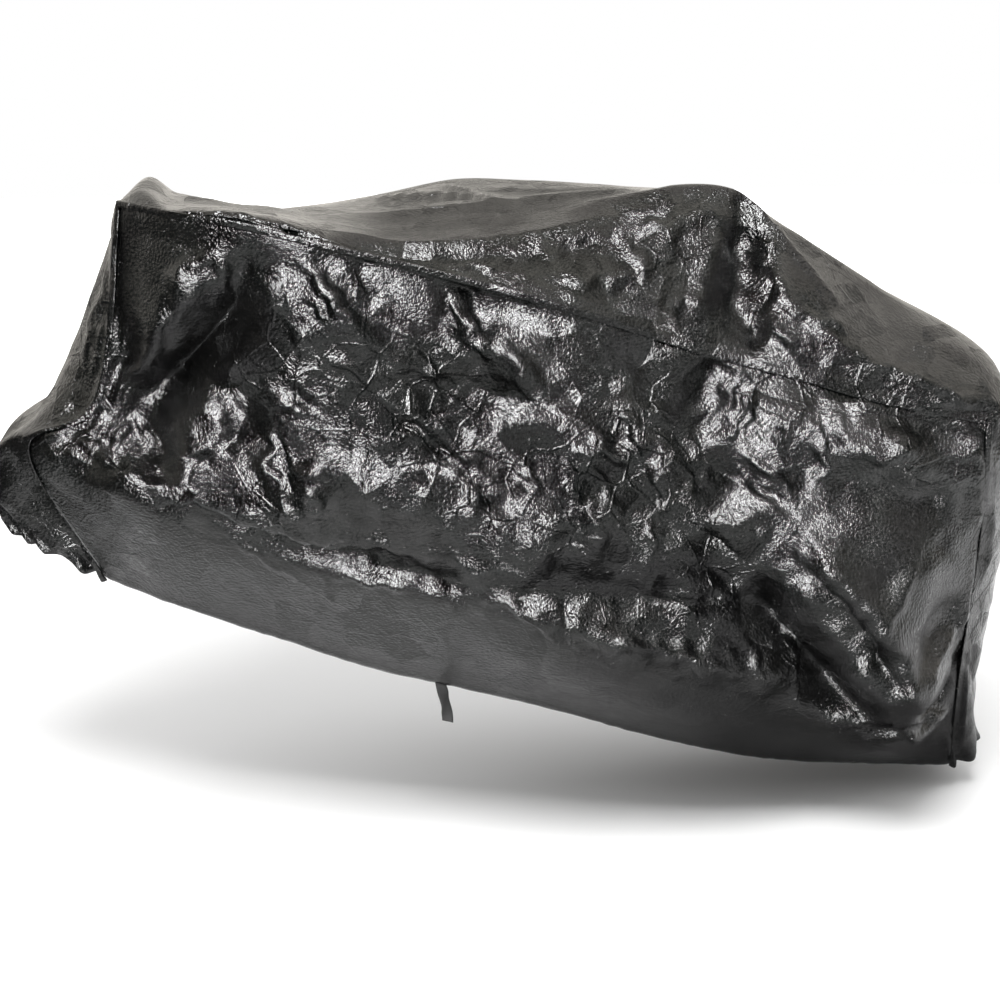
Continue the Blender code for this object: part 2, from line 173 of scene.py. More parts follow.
# The large folds, which the solids have too.
NEAR_FOLDS = (
    Fold("lever_ridge", ((-0.470, 1.085), (-0.535, 1.000), (-0.605, 0.895), (-0.655, 0.825)), 0.036, 0.044),
    Fold("lever_scoop", ((-0.430, 1.060), (-0.460, 0.975), (-0.540, 0.870), (-0.630, 0.795)), 0.036, -0.064),
    Fold("grip_lobe", ((-0.405, 1.080), (-0.345, 0.990), (-0.310, 0.915)), 0.028, 0.016),
    Fold("grip_fall", ((-0.330, 1.090), (-0.280, 0.995), (-0.225, 0.900)), 0.030, 0.024),
    Fold("shelf_side", ((-0.585, 0.790), (-0.575, 0.690)), 0.032, -0.030),
    Fold("front_drape", ((-0.480, 0.880), (-0.520, 0.790), (-0.545, 0.720)), 0.032, 0.020),
    Fold("cross_crease", ((-0.225, 0.850), (-0.125, 0.765), (-0.010, 0.670), (0.090, 0.600)), 0.030, -0.024),
    Fold("cross_ridge", ((-0.150, 0.890), (-0.040, 0.790), (0.060, 0.700)), 0.032, 0.018),
    Fold("mid_drape", ((-0.100, 1.015), (-0.050, 0.935), (0.030, 0.850)), 0.030, 0.018),
    Fold("front_roll", ((-0.390, 0.855), (-0.330, 0.760), (-0.350, 0.640)), 0.032, 0.018),
    Fold("hem_roll", ((-0.490, 0.635), (-0.360, 0.590), (-0.190, 0.550), (0.000, 0.510)), 0.024, -0.022),
    Fold("lower_roll", ((-0.070, 0.530), (0.090, 0.455), (0.240, 0.390), (0.410, 0.350)), 0.028, 0.026),
    Fold("lower_crease", ((0.070, 0.545), (0.180, 0.500), (0.300, 0.475)), 0.030, -0.020),
    Fold("fan_ridge", ((0.165, 0.845), (0.215, 0.760), (0.300, 0.620)), 0.034, 0.024),
    Fold("saddle_valley", ((0.320, 0.880), (0.290, 0.810), (0.262, 0.765)), 0.034, -0.044),
    Fold("rear_brow", ((0.370, 0.830), (0.540, 0.765), (0.740, 0.700)), 0.036, 0.020),
    Fold("rear_pit", ((0.560, 0.700), (0.660, 0.640), (0.760, 0.640)), 0.036, -0.022),
    Fold("flap", ((0.65, 0.25), (0.56, 0.39), (0.46, 0.50), (0.38, 0.56)), 0.052, 0.0, -0.058, -0.024),
    Fold("flap_crown", ((0.640, 0.540), (0.700, 0.400)), 0.080, 0.020),
    Fold("rear_tuck", ((0.650, 0.250), (0.720, 0.290), (0.810, 0.330)), 0.040, 0.0, 0.046, 0.016),
)
FAR_FOLDS = (
    Fold("grip_drape", ((-0.320, 1.040), (-0.240, 0.880), (-0.180, 0.760)), 0.050, 0.022),
    Fold("front_scoop", ((-0.440, 0.980), (-0.540, 0.840), (-0.640, 0.780)), 0.055, -0.040),
    Fold("mid_drape", ((0.000, 0.920), (0.060, 0.780), (0.160, 0.640)), 0.050, 0.018),
    Fold("belly_roll", ((-0.420, 0.590), (-0.100, 0.500), (0.200, 0.400)), 0.050, 0.018),
    Fold("saddle_valley", ((0.350, 0.860), (0.310, 0.700)), 0.050, -0.030),
    Fold("rear_roll", ((0.420, 0.520), (0.560, 0.380), (0.680, 0.280)), 0.055, -0.028),
)
GUSSET_FOLDS = (
    Fold("saddle_valley", ((0.385, 1.095), (0.362, 1.000), (0.330, 0.890)), 0.028, -0.055),
    Fold("saddle_ridge", ((0.350, 1.090), (0.305, 0.990), (0.262, 0.930)), 0.024, 0.018),
    Fold("rear_ridge", ((0.400, 1.080), (0.435, 0.980), (0.470, 0.910)), 0.024, 0.016),
)
END_SHARE = 0.25  # the share of a fold's length over which it fades at each end
END_FADE = 0.35  # and what is left of it at the very end
EDGE_CALM = 0.060  # folds fade out this close to a side panel's edge
FOLD_START = 0.67  # how far up from the near seam the gusset's folds have their full depth, in ribs

# How some broad faces lean, which only this scene has: gentler flanks and flatter grounds for the folds.
NEAR_LEANS = (
    Fold("lever_flank", ((-0.515, 1.110), (-0.575, 1.030), (-0.635, 0.930)), 0.045, 0.018),
    Fold("lever_edge", ((-0.460, 1.060), (-0.475, 1.000), (-0.525, 0.940), (-0.590, 0.860)), 0.016, 0.018),
    Fold("brow_flank", ((0.370, 0.830), (0.540, 0.765), (0.740, 0.700)), 0.036, -0.009),
    Fold("brow_foot", ((0.400, 0.775), (0.560, 0.715), (0.740, 0.655)), 0.030, 0.008),
    Fold("pit_foot", ((0.46, 0.68), (0.56, 0.65), (0.66, 0.60), (0.76, 0.60)), 0.045, -0.018),
    Fold("quad_fill", ((0.320, 0.880), (0.290, 0.810), (0.262, 0.765)), 0.034, 0.034),
    Fold("flap_toe", ((0.66, 0.40), (0.74, 0.38), (0.80, 0.36)), 0.080, -0.034),
    Fold("flap_point", ((0.55, 0.40), (0.61, 0.33), (0.655, 0.27)), 0.026, 0.030),
    Fold("point_shade", ((0.52, 0.36), (0.58, 0.28), (0.64, 0.22)), 0.030, -0.034),
    Fold("rear_roll", ((0.62, 0.185), (0.70, 0.19), (0.78, 0.20)), 0.022, 0.020),
    Fold("knee_fill", ((-0.225, 0.85), (-0.125, 0.765), (-0.01, 0.67), (0.09, 0.60)), 0.030, 0.020),
    Fold("knee_flat", ((-0.150, 0.890), (-0.040, 0.790), (0.060, 0.700)), 0.034, -0.020),
    Fold("knee_head", ((-0.20, 0.87), (-0.02, 0.84), (0.12, 0.80)), 0.040, -0.010),
    Fold("knee_foot", ((-0.24, 0.74), (-0.08, 0.67), (0.10, 0.60)), 0.060, 0.036),
    Fold("bib_foot", ((-0.53, 0.76), (-0.43, 0.74), (-0.35, 0.73)), 0.045, 0.014),
)
GUSSET_LEANS = (  # the cloth in the saddle's valley slides rearwards
    Fold("saddle_shift", ((0.385, 1.095), (0.370, 1.00), (0.340, 0.89)), 0.034, step=-0.0001, slip=-0.016),
)

# The creases, which only this scene has.
VEE, ROLL = Profile.VEE, Profile.ROLL
NEAR_CREASES = (
    # under the front corner, over the brake lever
    Crease("bulge_rim", ((-0.56, 1.01), (-0.52, 1.07), (-0.47, 1.09)), 0.020, 0.010),
    Crease("bulge_side", ((-0.47, 1.08), (-0.47, 1.02), (-0.49, 0.96)), 0.020, 0.009),
    Crease("bulge_middle", ((-0.56, 1.03), (-0.55, 0.97), (-0.56, 0.92)), 0.016, -0.009, VEE),
    Crease("bulge_foot", ((-0.57, 0.93), (-0.62, 0.87), (-0.67, 0.82)), 0.020, 0.009),
    Crease("bulge_hollow", ((-0.59, 0.96), (-0.63, 0.90), (-0.66, 0.84)), 0.018, -0.008, VEE),
    # the bunched shelf over the front wheel
    Crease("shelf_rim", ((-0.79, 0.75), (-0.75, 0.77), (-0.70, 0.80)), 0.024, 0.013),
    Crease("shelf_cross", ((-0.70, 0.79), (-0.67, 0.77), (-0.63, 0.78)), 0.018, 0.011),
    Crease("shelf_fall", ((-0.63, 0.78), (-0.66, 0.75), (-0.69, 0.72)), 0.018, 0.011),
    Crease("shelf_edge", ((-0.63, 0.78), (-0.60, 0.75), (-0.60, 0.71)), 0.018, 0.011),
    Crease("shelf_dip", ((-0.68, 0.77), (-0.66, 0.75), (-0.63, 0.72)), 0.016, -0.010, VEE),
    Crease("shelf_toe", ((-0.76, 0.75), (-0.71, 0.74), (-0.66, 0.72)), 0.018, -0.009, VEE),
    # the drape behind the lever
    Crease("apron", ((-0.59, 0.70), (-0.55, 0.74), (-0.50, 0.79), (-0.48, 0.86)), 0.040, 0.016),
    Crease("apron_side", ((-0.45, 0.91), (-0.47, 0.84), (-0.47, 0.75)), 0.024, -0.010, VEE),
    Crease(
        "elbow_line",
        ((-0.50, 0.88), (-0.45, 0.91), (-0.43, 0.93), (-0.40, 0.91), (-0.36, 0.93)),
        0.010,
        0.003,
    ),
    # streaks that fall from the grip
    Crease("grip_streak", ((-0.41, 1.08), (-0.37, 1.01), (-0.34, 0.97), (-0.32, 0.93)), 0.018, 0.011),
    Crease("grip_streak_low", ((-0.35, 1.04), (-0.31, 1.00), (-0.27, 0.97)), 0.018, 0.009),
    Crease("lobe_ridge", ((-0.34, 1.10), (-0.30, 1.04), (-0.27, 0.99), (-0.23, 0.96)), 0.024, 0.013),
    Crease("lobe_valley", ((-0.31, 1.09), (-0.27, 1.03), (-0.24, 0.97)), 0.018, -0.010, VEE),
    Crease("lobe_line", ((-0.25, 1.09), (-0.24, 1.02), (-0.24, 0.97)), 0.012, -0.006, VEE),
    Crease("lobe_foot", ((-0.32, 0.94), (-0.27, 0.92), (-0.22, 0.88)), 0.018, 0.009),
    Crease("drop_one", ((-0.40, 0.89), (-0.37, 0.85), (-0.32, 0.83)), 0.020, 0.010),
    Crease("drop_one_valley", ((-0.37, 0.89), (-0.34, 0.86), (-0.32, 0.83)), 0.016, -0.008, VEE),
    Crease("drop_two", ((-0.37, 0.81), (-0.35, 0.75), (-0.30, 0.74)), 0.020, 0.010),
    Crease("drop_three", ((-0.41, 0.82), (-0.40, 0.77), (-0.41, 0.73)), 0.016, 0.008),
    Crease("drop_four", ((-0.43, 0.77), (-0.40, 0.72), (-0.38, 0.67), (-0.37, 0.63)), 0.026, 0.014),
    Crease("drop_five", ((-0.35, 0.72), (-0.34, 0.68), (-0.33, 0.65)), 0.016, 0.008),
    Crease("sheet_line", ((-0.24, 0.82), (-0.25, 0.73), (-0.28, 0.66)), 0.012, 0.005),
    # the long slanting crease at the knee and what lies about it
    Crease("knee_ridge", ((-0.22, 0.88), (-0.13, 0.81), (-0.07, 0.75), (-0.03, 0.69)), 0.026, 0.014),
    Crease("knee_valley", ((-0.24, 0.86), (-0.15, 0.78), (-0.03, 0.67), (0.06, 0.60)), 0.018, -0.014, VEE),
    Crease("mid_streak", ((-0.12, 1.04), (-0.09, 0.99), (-0.07, 0.94), (-0.04, 0.92)), 0.020, 0.012),
    Crease("mid_streak_valley", ((-0.10, 1.04), (-0.06, 0.97), (-0.03, 0.93)), 0.016, -0.009, VEE),
    Crease("thin_stay", ((-0.18, 0.95), (-0.15, 0.89), (-0.13, 0.82)), 0.012, 0.007),
    Crease("thin_stay_up", ((-0.13, 0.82), (-0.10, 0.86), (-0.07, 0.90)), 0.012, 0.006),
    Crease("thin_stay_left", ((-0.23, 0.86), (-0.19, 0.88), (-0.16, 0.89)), 0.010, 0.005),
    Crease("chest_patch", ((-0.24, 0.96), (-0.18, 0.92), (-0.08, 0.90)), 0.036, 0.012),
    Crease("arch", ((-0.25, 0.78), (-0.19, 0.80), (-0.13, 0.79)), 0.020, 0.010),
    Crease("arch_low", ((-0.14, 0.76), (-0.10, 0.71), (-0.09, 0.64)), 0.026, 0.012),
    Crease("rest_patch", ((-0.03, 0.76), (0.00, 0.73), (0.00, 0.66)), 0.024, 0.012),
    Crease("long_streak", ((-0.03, 0.95), (0.00, 0.90), (0.04, 0.84)), 0.024, 0.013),
    # under the frame's middle
    Crease("brow_patch", ((0.07, 0.76), (0.12, 0.77), (0.17, 0.75), (0.20, 0.73)), 0.024, 0.014),
    Crease("mark_a", ((0.07, 0.77), (0.07, 0.66), (0.08, 0.57)), 0.012, 0.007),
    Crease("thin_bar", ((0.10, 0.75), (0.15, 0.66)), 0.012, 0.007),
    Crease("bar_patch", ((0.08, 0.68), (0.11, 0.62), (0.10, 0.56)), 0.024, 0.012),
    Crease("bar_side", ((0.15, 0.67), (0.16, 0.56)), 0.010, 0.006),
    Crease("mark_b", ((0.21, 0.67), (0.20, 0.57), (0.20, 0.47)), 0.014, 0.009),
    # the fan below the saddle
    Crease("fan_one", ((0.16, 0.84), (0.19, 0.79), (0.22, 0.74)), 0.022, 0.015),
    Crease("fan_two", ((0.17, 0.84), (0.22, 0.81), (0.26, 0.78)), 0.018, 0.010),
    Crease("fan_three", ((0.21, 0.74), (0.23, 0.68), (0.28, 0.62)), 0.016, 0.009),
    Crease("fan_four", ((0.24, 0.76), (0.27, 0.70), (0.28, 0.64)), 0.014, 0.007),
    Crease("fan_five", ((0.27, 0.77), (0.30, 0.71), (0.31, 0.66)), 0.014, 0.006),
    Crease("quad_sill", ((0.26, 0.79), (0.31, 0.81), (0.33, 0.87)), 0.016, 0.009),
    Crease("pleat_one", ((0.29, 0.76), (0.33, 0.81), (0.36, 0.85)), 0.016, 0.009),
    Crease("pleat_two", ((0.33, 0.75), (0.36, 0.80), (0.38, 0.84)), 0.014, 0.008),
    Crease("pleat_three", ((0.36, 0.75), (0.37, 0.80), (0.39, 0.83)), 0.014, 0.007),
    Crease("sweep_one", ((0.30, 0.71), (0.37, 0.68), (0.43, 0.65), (0.46, 0.62)), 0.016, -0.009, VEE),
    Crease("sweep_two", ((0.36, 0.75), (0.42, 0.70), (0.47, 0.66)), 0.018, 0.010),
    Crease("sweep_three", ((0.33, 0.73), (0.39, 0.68), (0.44, 0.64)), 0.014, -0.007, VEE),
    Crease("arc_patch", ((0.46, 0.76), (0.49, 0.76), (0.50, 0.71), (0.47, 0.67)), 0.018, 0.010),
    # the brow under the rear seam, and the pocket
    Crease("brow_drop", ((0.51, 0.81), (0.55, 0.75), (0.59, 0.73), (0.70, 0.75)), 0.032, 0.013),
    Crease("brow_end", ((0.70, 0.71), (0.75, 0.72), (0.79, 0.70)), 0.024, 0.010),
    Crease("pocket_lid", ((0.29, 0.61), (0.36, 0.63), (0.43, 0.64)), 0.016, 0.009),
    Crease("pocket_lip", ((0.21, 0.63), (0.23, 0.65), (0.25, 0.67)), 0.014, 0.008),
    Crease("pocket_dark", ((0.23, 0.62), (0.28, 0.59), (0.34, 0.57)), 0.024, -0.012, VEE),
    Crease("pocket_low", ((0.21, 0.57), (0.28, 0.54), (0.38, 0.51)), 0.020, -0.010, VEE),
    Crease("sill_one", ((0.20, 0.50), (0.30, 0.50), (0.38, 0.49)), 0.018, 0.009),
    Crease("sill_two", ((0.21, 0.48), (0.28, 0.47), (0.35, 0.46)), 0.012, 0.006),
    # the long rolls above the smooth band
    Crease("roll_left", ((-0.07, 0.53), (-0.01, 0.51), (0.06, 0.46), (0.13, 0.42)), 0.028, 0.016),
    Crease(
        "roll_right",
        ((0.13, 0.42), (0.19, 0.43), (0.24, 0.42), (0.28, 0.40), (0.34, 0.36)),
        0.024,
        0.015,
    ),
    Crease("roll_step", ((0.07, 0.52), (0.07, 0.47), (0.08, 0.41)), 0.016, -0.008, VEE),
    Crease("thin_ledge", ((0.09, 0.40), (0.16, 0.39), (0.23, 0.41)), 0.014, 0.008),
    Crease("ledge_tip", ((0.28, 0.39), (0.35, 0.36), (0.38, 0.34)), 0.018, 0.010),
    Crease("second_ledge", ((0.23, 0.34), (0.28, 0.36), (0.37, 0.33)), 0.014, 0.008),
    Crease("hang_one", ((0.38, 0.41), (0.40, 0.34), (0.42, 0.29)), 0.016, 0.008),
    Crease("hang_two", ((0.45, 0.39), (0.47, 0.33), (0.48, 0.26)), 0.014, 0.007),
    Crease("hang_three", ((0.58, 0.26), (0.64, 0.15)), 0.012, 0.005),
    Crease("belly_lip", ((-0.60, 0.69), (-0.49, 0.68), (-0.36, 0.63), (-0.20, 0.60)), 0.028, 0.011),
    Crease(
        "belly_dark",
        ((-0.58, 0.67), (-0.49, 0.65), (-0.32, 0.59), (-0.19, 0.57), (-0.11, 0.53)),
        0.018,
        -0.011,
        VEE,
    ),
    Crease("belly_patch", ((-0.31, 0.55), (-0.20, 0.54), (-0.13, 0.52)), 0.024, 0.011),
    Crease("mark_c", ((-0.32, 0.58), (-0.32, 0.49), (-0.33, 0.42)), 0.010, 0.0025),
    Crease("mark_d", ((-0.12, 0.55), (-0.12, 0.45), (-0.13, 0.36)), 0.010, 0.0025),
    Crease("mark_e", ((-0.51, 0.64), (-0.42, 0.57), (-0.31, 0.51)), 0.016, 0.003),
    # the smooth flap at the rear, and the piece below it
    Crease("flap_face", ((0.68, 0.58), (0.63, 0.51), (0.57, 0.42)), 0.028, 0.007),
    Crease("flap_side", ((0.78, 0.45), (0.71, 0.36), (0.65, 0.29)), 0.030, 0.010),
    Crease("flap_line", ((0.80, 0.44), (0.77, 0.39), (0.72, 0.35)), 0.016, 0.006),
    Crease("flap_nick", ((0.59, 0.41), (0.63, 0.38)), 0.014, 0.007),
    Crease("flap_edge", ((0.46, 0.58), (0.48, 0.54), (0.55, 0.46), (0.63, 0.38)), 0.026, 0.006),
    Crease("flap_root", ((0.42, 0.62), (0.40, 0.58), (0.38, 0.52)), 0.020, -0.010, VEE),
    Crease(
        "under_ridge",
        ((0.37, 0.51), (0.44, 0.48), (0.53, 0.37), (0.60, 0.33), (0.64, 0.28)),
        0.022,
        0.012,
    ),
    Crease(
        "flap_gully",
        ((0.41, 0.61), (0.48, 0.52), (0.56, 0.43), (0.62, 0.35), (0.65, 0.27)),
        0.034,
        -0.040,
        VEE,
    ),
    Crease("flap_lip", ((0.46, 0.60), (0.53, 0.52), (0.60, 0.45), (0.65, 0.36), (0.67, 0.28)), 0.040, 0.005),
    Crease("saddle_gully", ((0.315, 0.93), (0.297, 0.85), (0.268, 0.74)), 0.060, -0.026),
    Crease("flap_dent", ((0.70, 0.56), (0.76, 0.52)), 0.018, -0.006, VEE),
    Crease("toe_ledge", ((0.65, 0.25), (0.80, 0.20)), 0.018, 0.010),
    Crease("toe_side", ((0.80, 0.18), (0.81, 0.13), (0.80, 0.07)), 0.016, 0.008),
)
GUSSET_CREASES = (  # on the part that hangs over the near side
    Crease("saddle_wedge", ((0.402, 1.15), (0.386, 1.00), (0.345, 0.83)), 0.054, -0.030),
    Crease("saddle_shine", ((0.20, 1.07), (0.28, 1.095), (0.35, 1.12)), 0.036, 0.013),
    Crease(
        "shoulder_line",
        ((-0.34, 1.12), (-0.22, 1.07), (-0.08, 1.06), (0.07, 1.07), (0.21, 1.09)),
        0.016,
        0.007,
    ),
    Crease("shoulder_rear", ((0.17, 1.08), (0.25, 1.09), (0.35, 1.11)), 0.020, 0.009),
    Crease("grip_tube", ((-0.50, 1.15), (-0.42, 1.14), (-0.36, 1.12)), 0.022, 0.011),
    Crease("grip_pucker", ((-0.37, 1.14), (-0.35, 1.11)), 0.016, -0.014, VEE),
    Crease("grip_notch", ((-0.51, 1.16), (-0.50, 1.14)), 0.014, -0.010, VEE),
    Crease("neck_line", ((-0.12, 1.07), (-0.11, 1.03)), 0.012, -0.007, VEE),
    Crease("wing_patch", ((0.05, 1.05), (0.13, 1.03), (0.20, 1.02)), 0.032, 0.013),
    Crease("wing_edge", ((0.17, 1.09), (0.21, 1.04), (0.22, 1.00)), 0.022, 0.010),
    Crease("wing_fall", ((-0.05, 1.03), (0.06, 1.00), (0.16, 0.99)), 0.026, 0.008),
    Crease("saddle_brow", ((0.20, 1.05), (0.26, 1.06), (0.34, 1.09)), 0.032, 0.006),
    Crease("saddle_nick", ((0.24, 0.99), (0.28, 0.98), (0.31, 0.97)), 0.018, 0.009),
    Crease("saddle_dart", ((0.25, 0.98), (0.25, 0.93), (0.27, 0.90)), 0.018, 0.009),
    Crease("tail_patch", ((0.40, 1.07), (0.42, 1.02), (0.45, 0.98)), 0.026, 0.013),
    Crease("tail_fall", ((0.39, 0.99), (0.43, 0.94), (0.47, 0.91)), 0.034, 0.016),
    Crease("tail_line", ((0.40, 1.00), (0.46, 0.95), (0.52, 0.91), (0.56, 0.89)), 0.014, 0.007),
    Crease("tail_nick", ((0.46, 0.96), (0.51, 0.94), (0.56, 0.93)), 0.022, 0.009),
    Crease("rear_shoulder", ((0.55, 0.89), (0.63, 0.86), (0.72, 0.81), (0.80, 0.77)), 0.018, 0.008),
    Crease("front_line", ((-0.64, 1.08), (-0.68, 0.96), (-0.72, 0.87)), 0.014, 0.007),
    Crease("front_cross", ((-0.67, 0.98), (-0.68, 0.90), (-0.70, 0.85)), 0.012, 0.006),
)
TOP_CREASES = (  # on the crown, as (x, y)
    Crease("crown_front", ((-0.55, -0.20), (-0.45, -0.24), (-0.34, -0.30)), 0.022, 0.008, ROLL),
    Crease("crown_long", ((-0.36, -0.30), (-0.15, -0.22), (0.05, -0.16), (0.26, -0.14)), 0.016, 0.009, ROLL),
    Crease("crown_near", ((-0.30, -0.36), (-0.10, -0.28), (0.10, -0.23)), 0.012, -0.006, ROLL),
    Crease("crown_cross", ((-0.12, -0.04), (-0.04, -0.16), (-0.02, -0.30)), 0.012, 0.007, ROLL),
    Crease("crown_branch", ((-0.26, -0.10), (-0.10, -0.14), (0.02, -0.20)), 0.012, 0.007, ROLL),
    Crease("crown_far", ((-0.20, -0.04), (0.00, -0.02), (0.20, -0.04)), 0.020, 0.007, ROLL),
    Crease("crown_dip", ((-0.05, -0.10), (0.08, -0.12), (0.22, -0.10)), 0.016, -0.007, ROLL),
    Crease("crown_saddle", ((0.05, -0.24), (0.20, -0.19), (0.36, -0.15)), 0.014, 0.009, ROLL),
    Crease("crown_tail", ((0.40, -0.14), (0.55, -0.13), (0.72, -0.14)), 0.020, 0.008, ROLL),
    Crease("crown_spoke", ((0.40, -0.16), (0.48, -0.20), (0.56, -0.24)), 0.014, 0.009, ROLL),
    Crease("crown_spoke_far", ((0.40, -0.12), (0.50, -0.06), (0.62, -0.02)), 0.016, 0.007, ROLL),
)

# Where the cloth is smoother or more crumpled than elsewhere.
NEAR_CALM = (
    Calm("middle", (0.00, 0.75), (0.42, 0.20), 1.45),
    Calm("upper_front", (-0.52, 1.05), (0.10, 0.10), 0.55),
    Calm("rear_flap", (0.64, 0.47), (0.17, 0.16), 0.12),
    Calm("grip_top", (-0.46, 1.11), (0.17, 0.05), 0.25),
    Calm("flap_middle", (0.60, 0.55), (0.14, 0.13), 0.25),
    Calm("front_corner", (-0.60, 1.02), (0.06, 0.12), 0.30),
    Calm("saddle_quad", (0.30, 0.83), (0.06, 0.08), 0.10),
    Calm("flap_tip", (0.62, 0.34), (0.10, 0.10), 0.20),
)
GUSSET_CALM = (Calm("saddle_valley", (0.355, 0.98), (0.045, 0.13), 0.10),)


def through(points: Grid, at: Grid) -> Grid:
    """A smooth curve through points: each leg is a cubic, its end slopes half the step between neighbours.

    Args:
        points: the points, which the curve passes at 0, 1, 2 and so on.
        at: parameter values.

    Returns:
        The place at each value.
    """
    points = np.asarray(points, float)
    ends = np.vstack([2 * points[0] - points[1], points, 2 * points[-1] - points[-2]])
    at = np.asarray(at, float)
    first = np.clip(np.floor(at).astype(int), 0, len(points) - 2)
    t = (at - first)[:, None]
    p0, p1, p2, p3 = (ends[first + k] for k in range(4))
    slope_in, slope_out = (p2 - p0) / 2, (p3 - p1) / 2
    chord = p2 - p1
    square = 3 * chord - 2 * slope_in - slope_out
    cube = slope_in + slope_out - 2 * chord
    return p1 + slope_in * t + square * t**2 + cube * t**3


def steps(counts: tuple[int, ...]) -> Grid:
    """Parameter values that cut each unit interval into its own number of equal steps."""
    cuts = [k + np.arange(count) / count for k, count in enumerate(counts)]
    return np.append(np.concatenate(cuts), len(counts))


def unit(vectors: Grid) -> Grid:
    """The same directions with length one."""
    return vectors / np.maximum(np.linalg.norm(vectors, axis=-1, keepdims=True), 1e-9)


def normals(points: Grid) -> Grid:
    """Unit normals of a grid: the cross product of the steps along its rows and down its columns."""
    down = np.gradient(points, axis=0)
    along = np.gradient(points, axis=1)
    return unit(np.cross(down, along))


def arc(points: Grid, axis: int) -> Grid:
    """Length along a grid from its first row (axis 0) or column (axis 1) to each point."""
    gaps = np.linalg.norm(np.diff(points, axis=axis), axis=-1)
    start = np.zeros_like(np.take(gaps, [0], axis=axis))
    return np.concatenate([start, np.cumsum(gaps, axis=axis)], axis=axis)


def smooth_step(value: Grid, low: float, high: float) -> Grid:
    """0 below low, 1 above high and a cubic blend between."""
    t = np.clip((value - low) / (high - low), 0, 1)
    return t * t * (3 - 2 * t)


def from_path(x: Grid, z: Grid, path: Path) -> tuple[Grid, Grid]:
    """Distance from each point to the nearest leg of a path, and how far along the path that lies.

    Args:
        x: the points' first coordinates.
        z: and their second.
        path: the path's (x, z) points.

    Returns:
        The distance, positive on the path's left, and the share of the path's length, 0 to 1.
    """
    nearest = np.full(x.shape, np.inf)
    side = np.zeros(x.shape)
    along = np.zeros(x.shape)
    legs = [np.array(b) - np.array(a) for a, b in zip(path, path[1:])]
    lengths = [float(np.hypot(*leg)) for leg in legs]
    run, whole = 0.0, sum(lengths)
    for (px, pz), leg, length in zip(path, legs, lengths):
        dx, dz = x - px, z - pz
        t = np.clip((dx * leg[0] + dz * leg[1]) / length**2, 0, 1)
        ox, oz = dx - t * leg[0], dz - t * leg[1]
        gap = np.hypot(ox, oz)
        closer = gap < nearest
        nearest = np.where(closer, gap, nearest)
        side = np.where(closer, np.sign(leg[0] * oz - leg[1] * ox), side)
        along = np.where(closer, (run + t * length) / whole, along)
        run += length
    return nearest * side, along


def fold(points: Grid, folds: tuple[Fold, ...], outward: int, weight: Grid) -> Grid:
    """Moves a grid by large folds.

    Push and slip are a bell exp(-r^2), r being the distance from the path in widths. Step is the
    difference of two such bells, one width to either side.

    Args:
        points: the grid.
        folds: the folds.
        outward: -1 on the near side, 1 on the far side.
        weight: how much each point takes part.

    Returns:
        The moved grid.
    """
    x, z = points[..., 0].copy(), points[..., 2].copy()
    moved = points.copy()
    for one in folds:
        distance, along = from_path(x, z, one.path)
        fade = np.clip(along / END_SHARE, END_FADE, 1) * np.clip((1 - along) / END_SHARE, END_FADE, 1)
        reach = distance / one.width
        bell = np.exp(-(reach**2)) * fade * weight
        both = (np.exp(-((reach - 1) ** 2)) - np.exp(-((reach + 1) ** 2))) * fade * weight
        moved[..., 1] += outward * (one.push * bell + one.step * both)
        heading = np.array(one.path[-1]) - np.array(one.path[0])
        across = np.array([heading[1], -heading[0]]) / np.hypot(*heading)
        moved[..., 0] += across[0] * one.slip * bell
        moved[..., 2] += across[1] * one.slip * bell
    return moved


# ------------------------------------------------------------------ creases and crumple


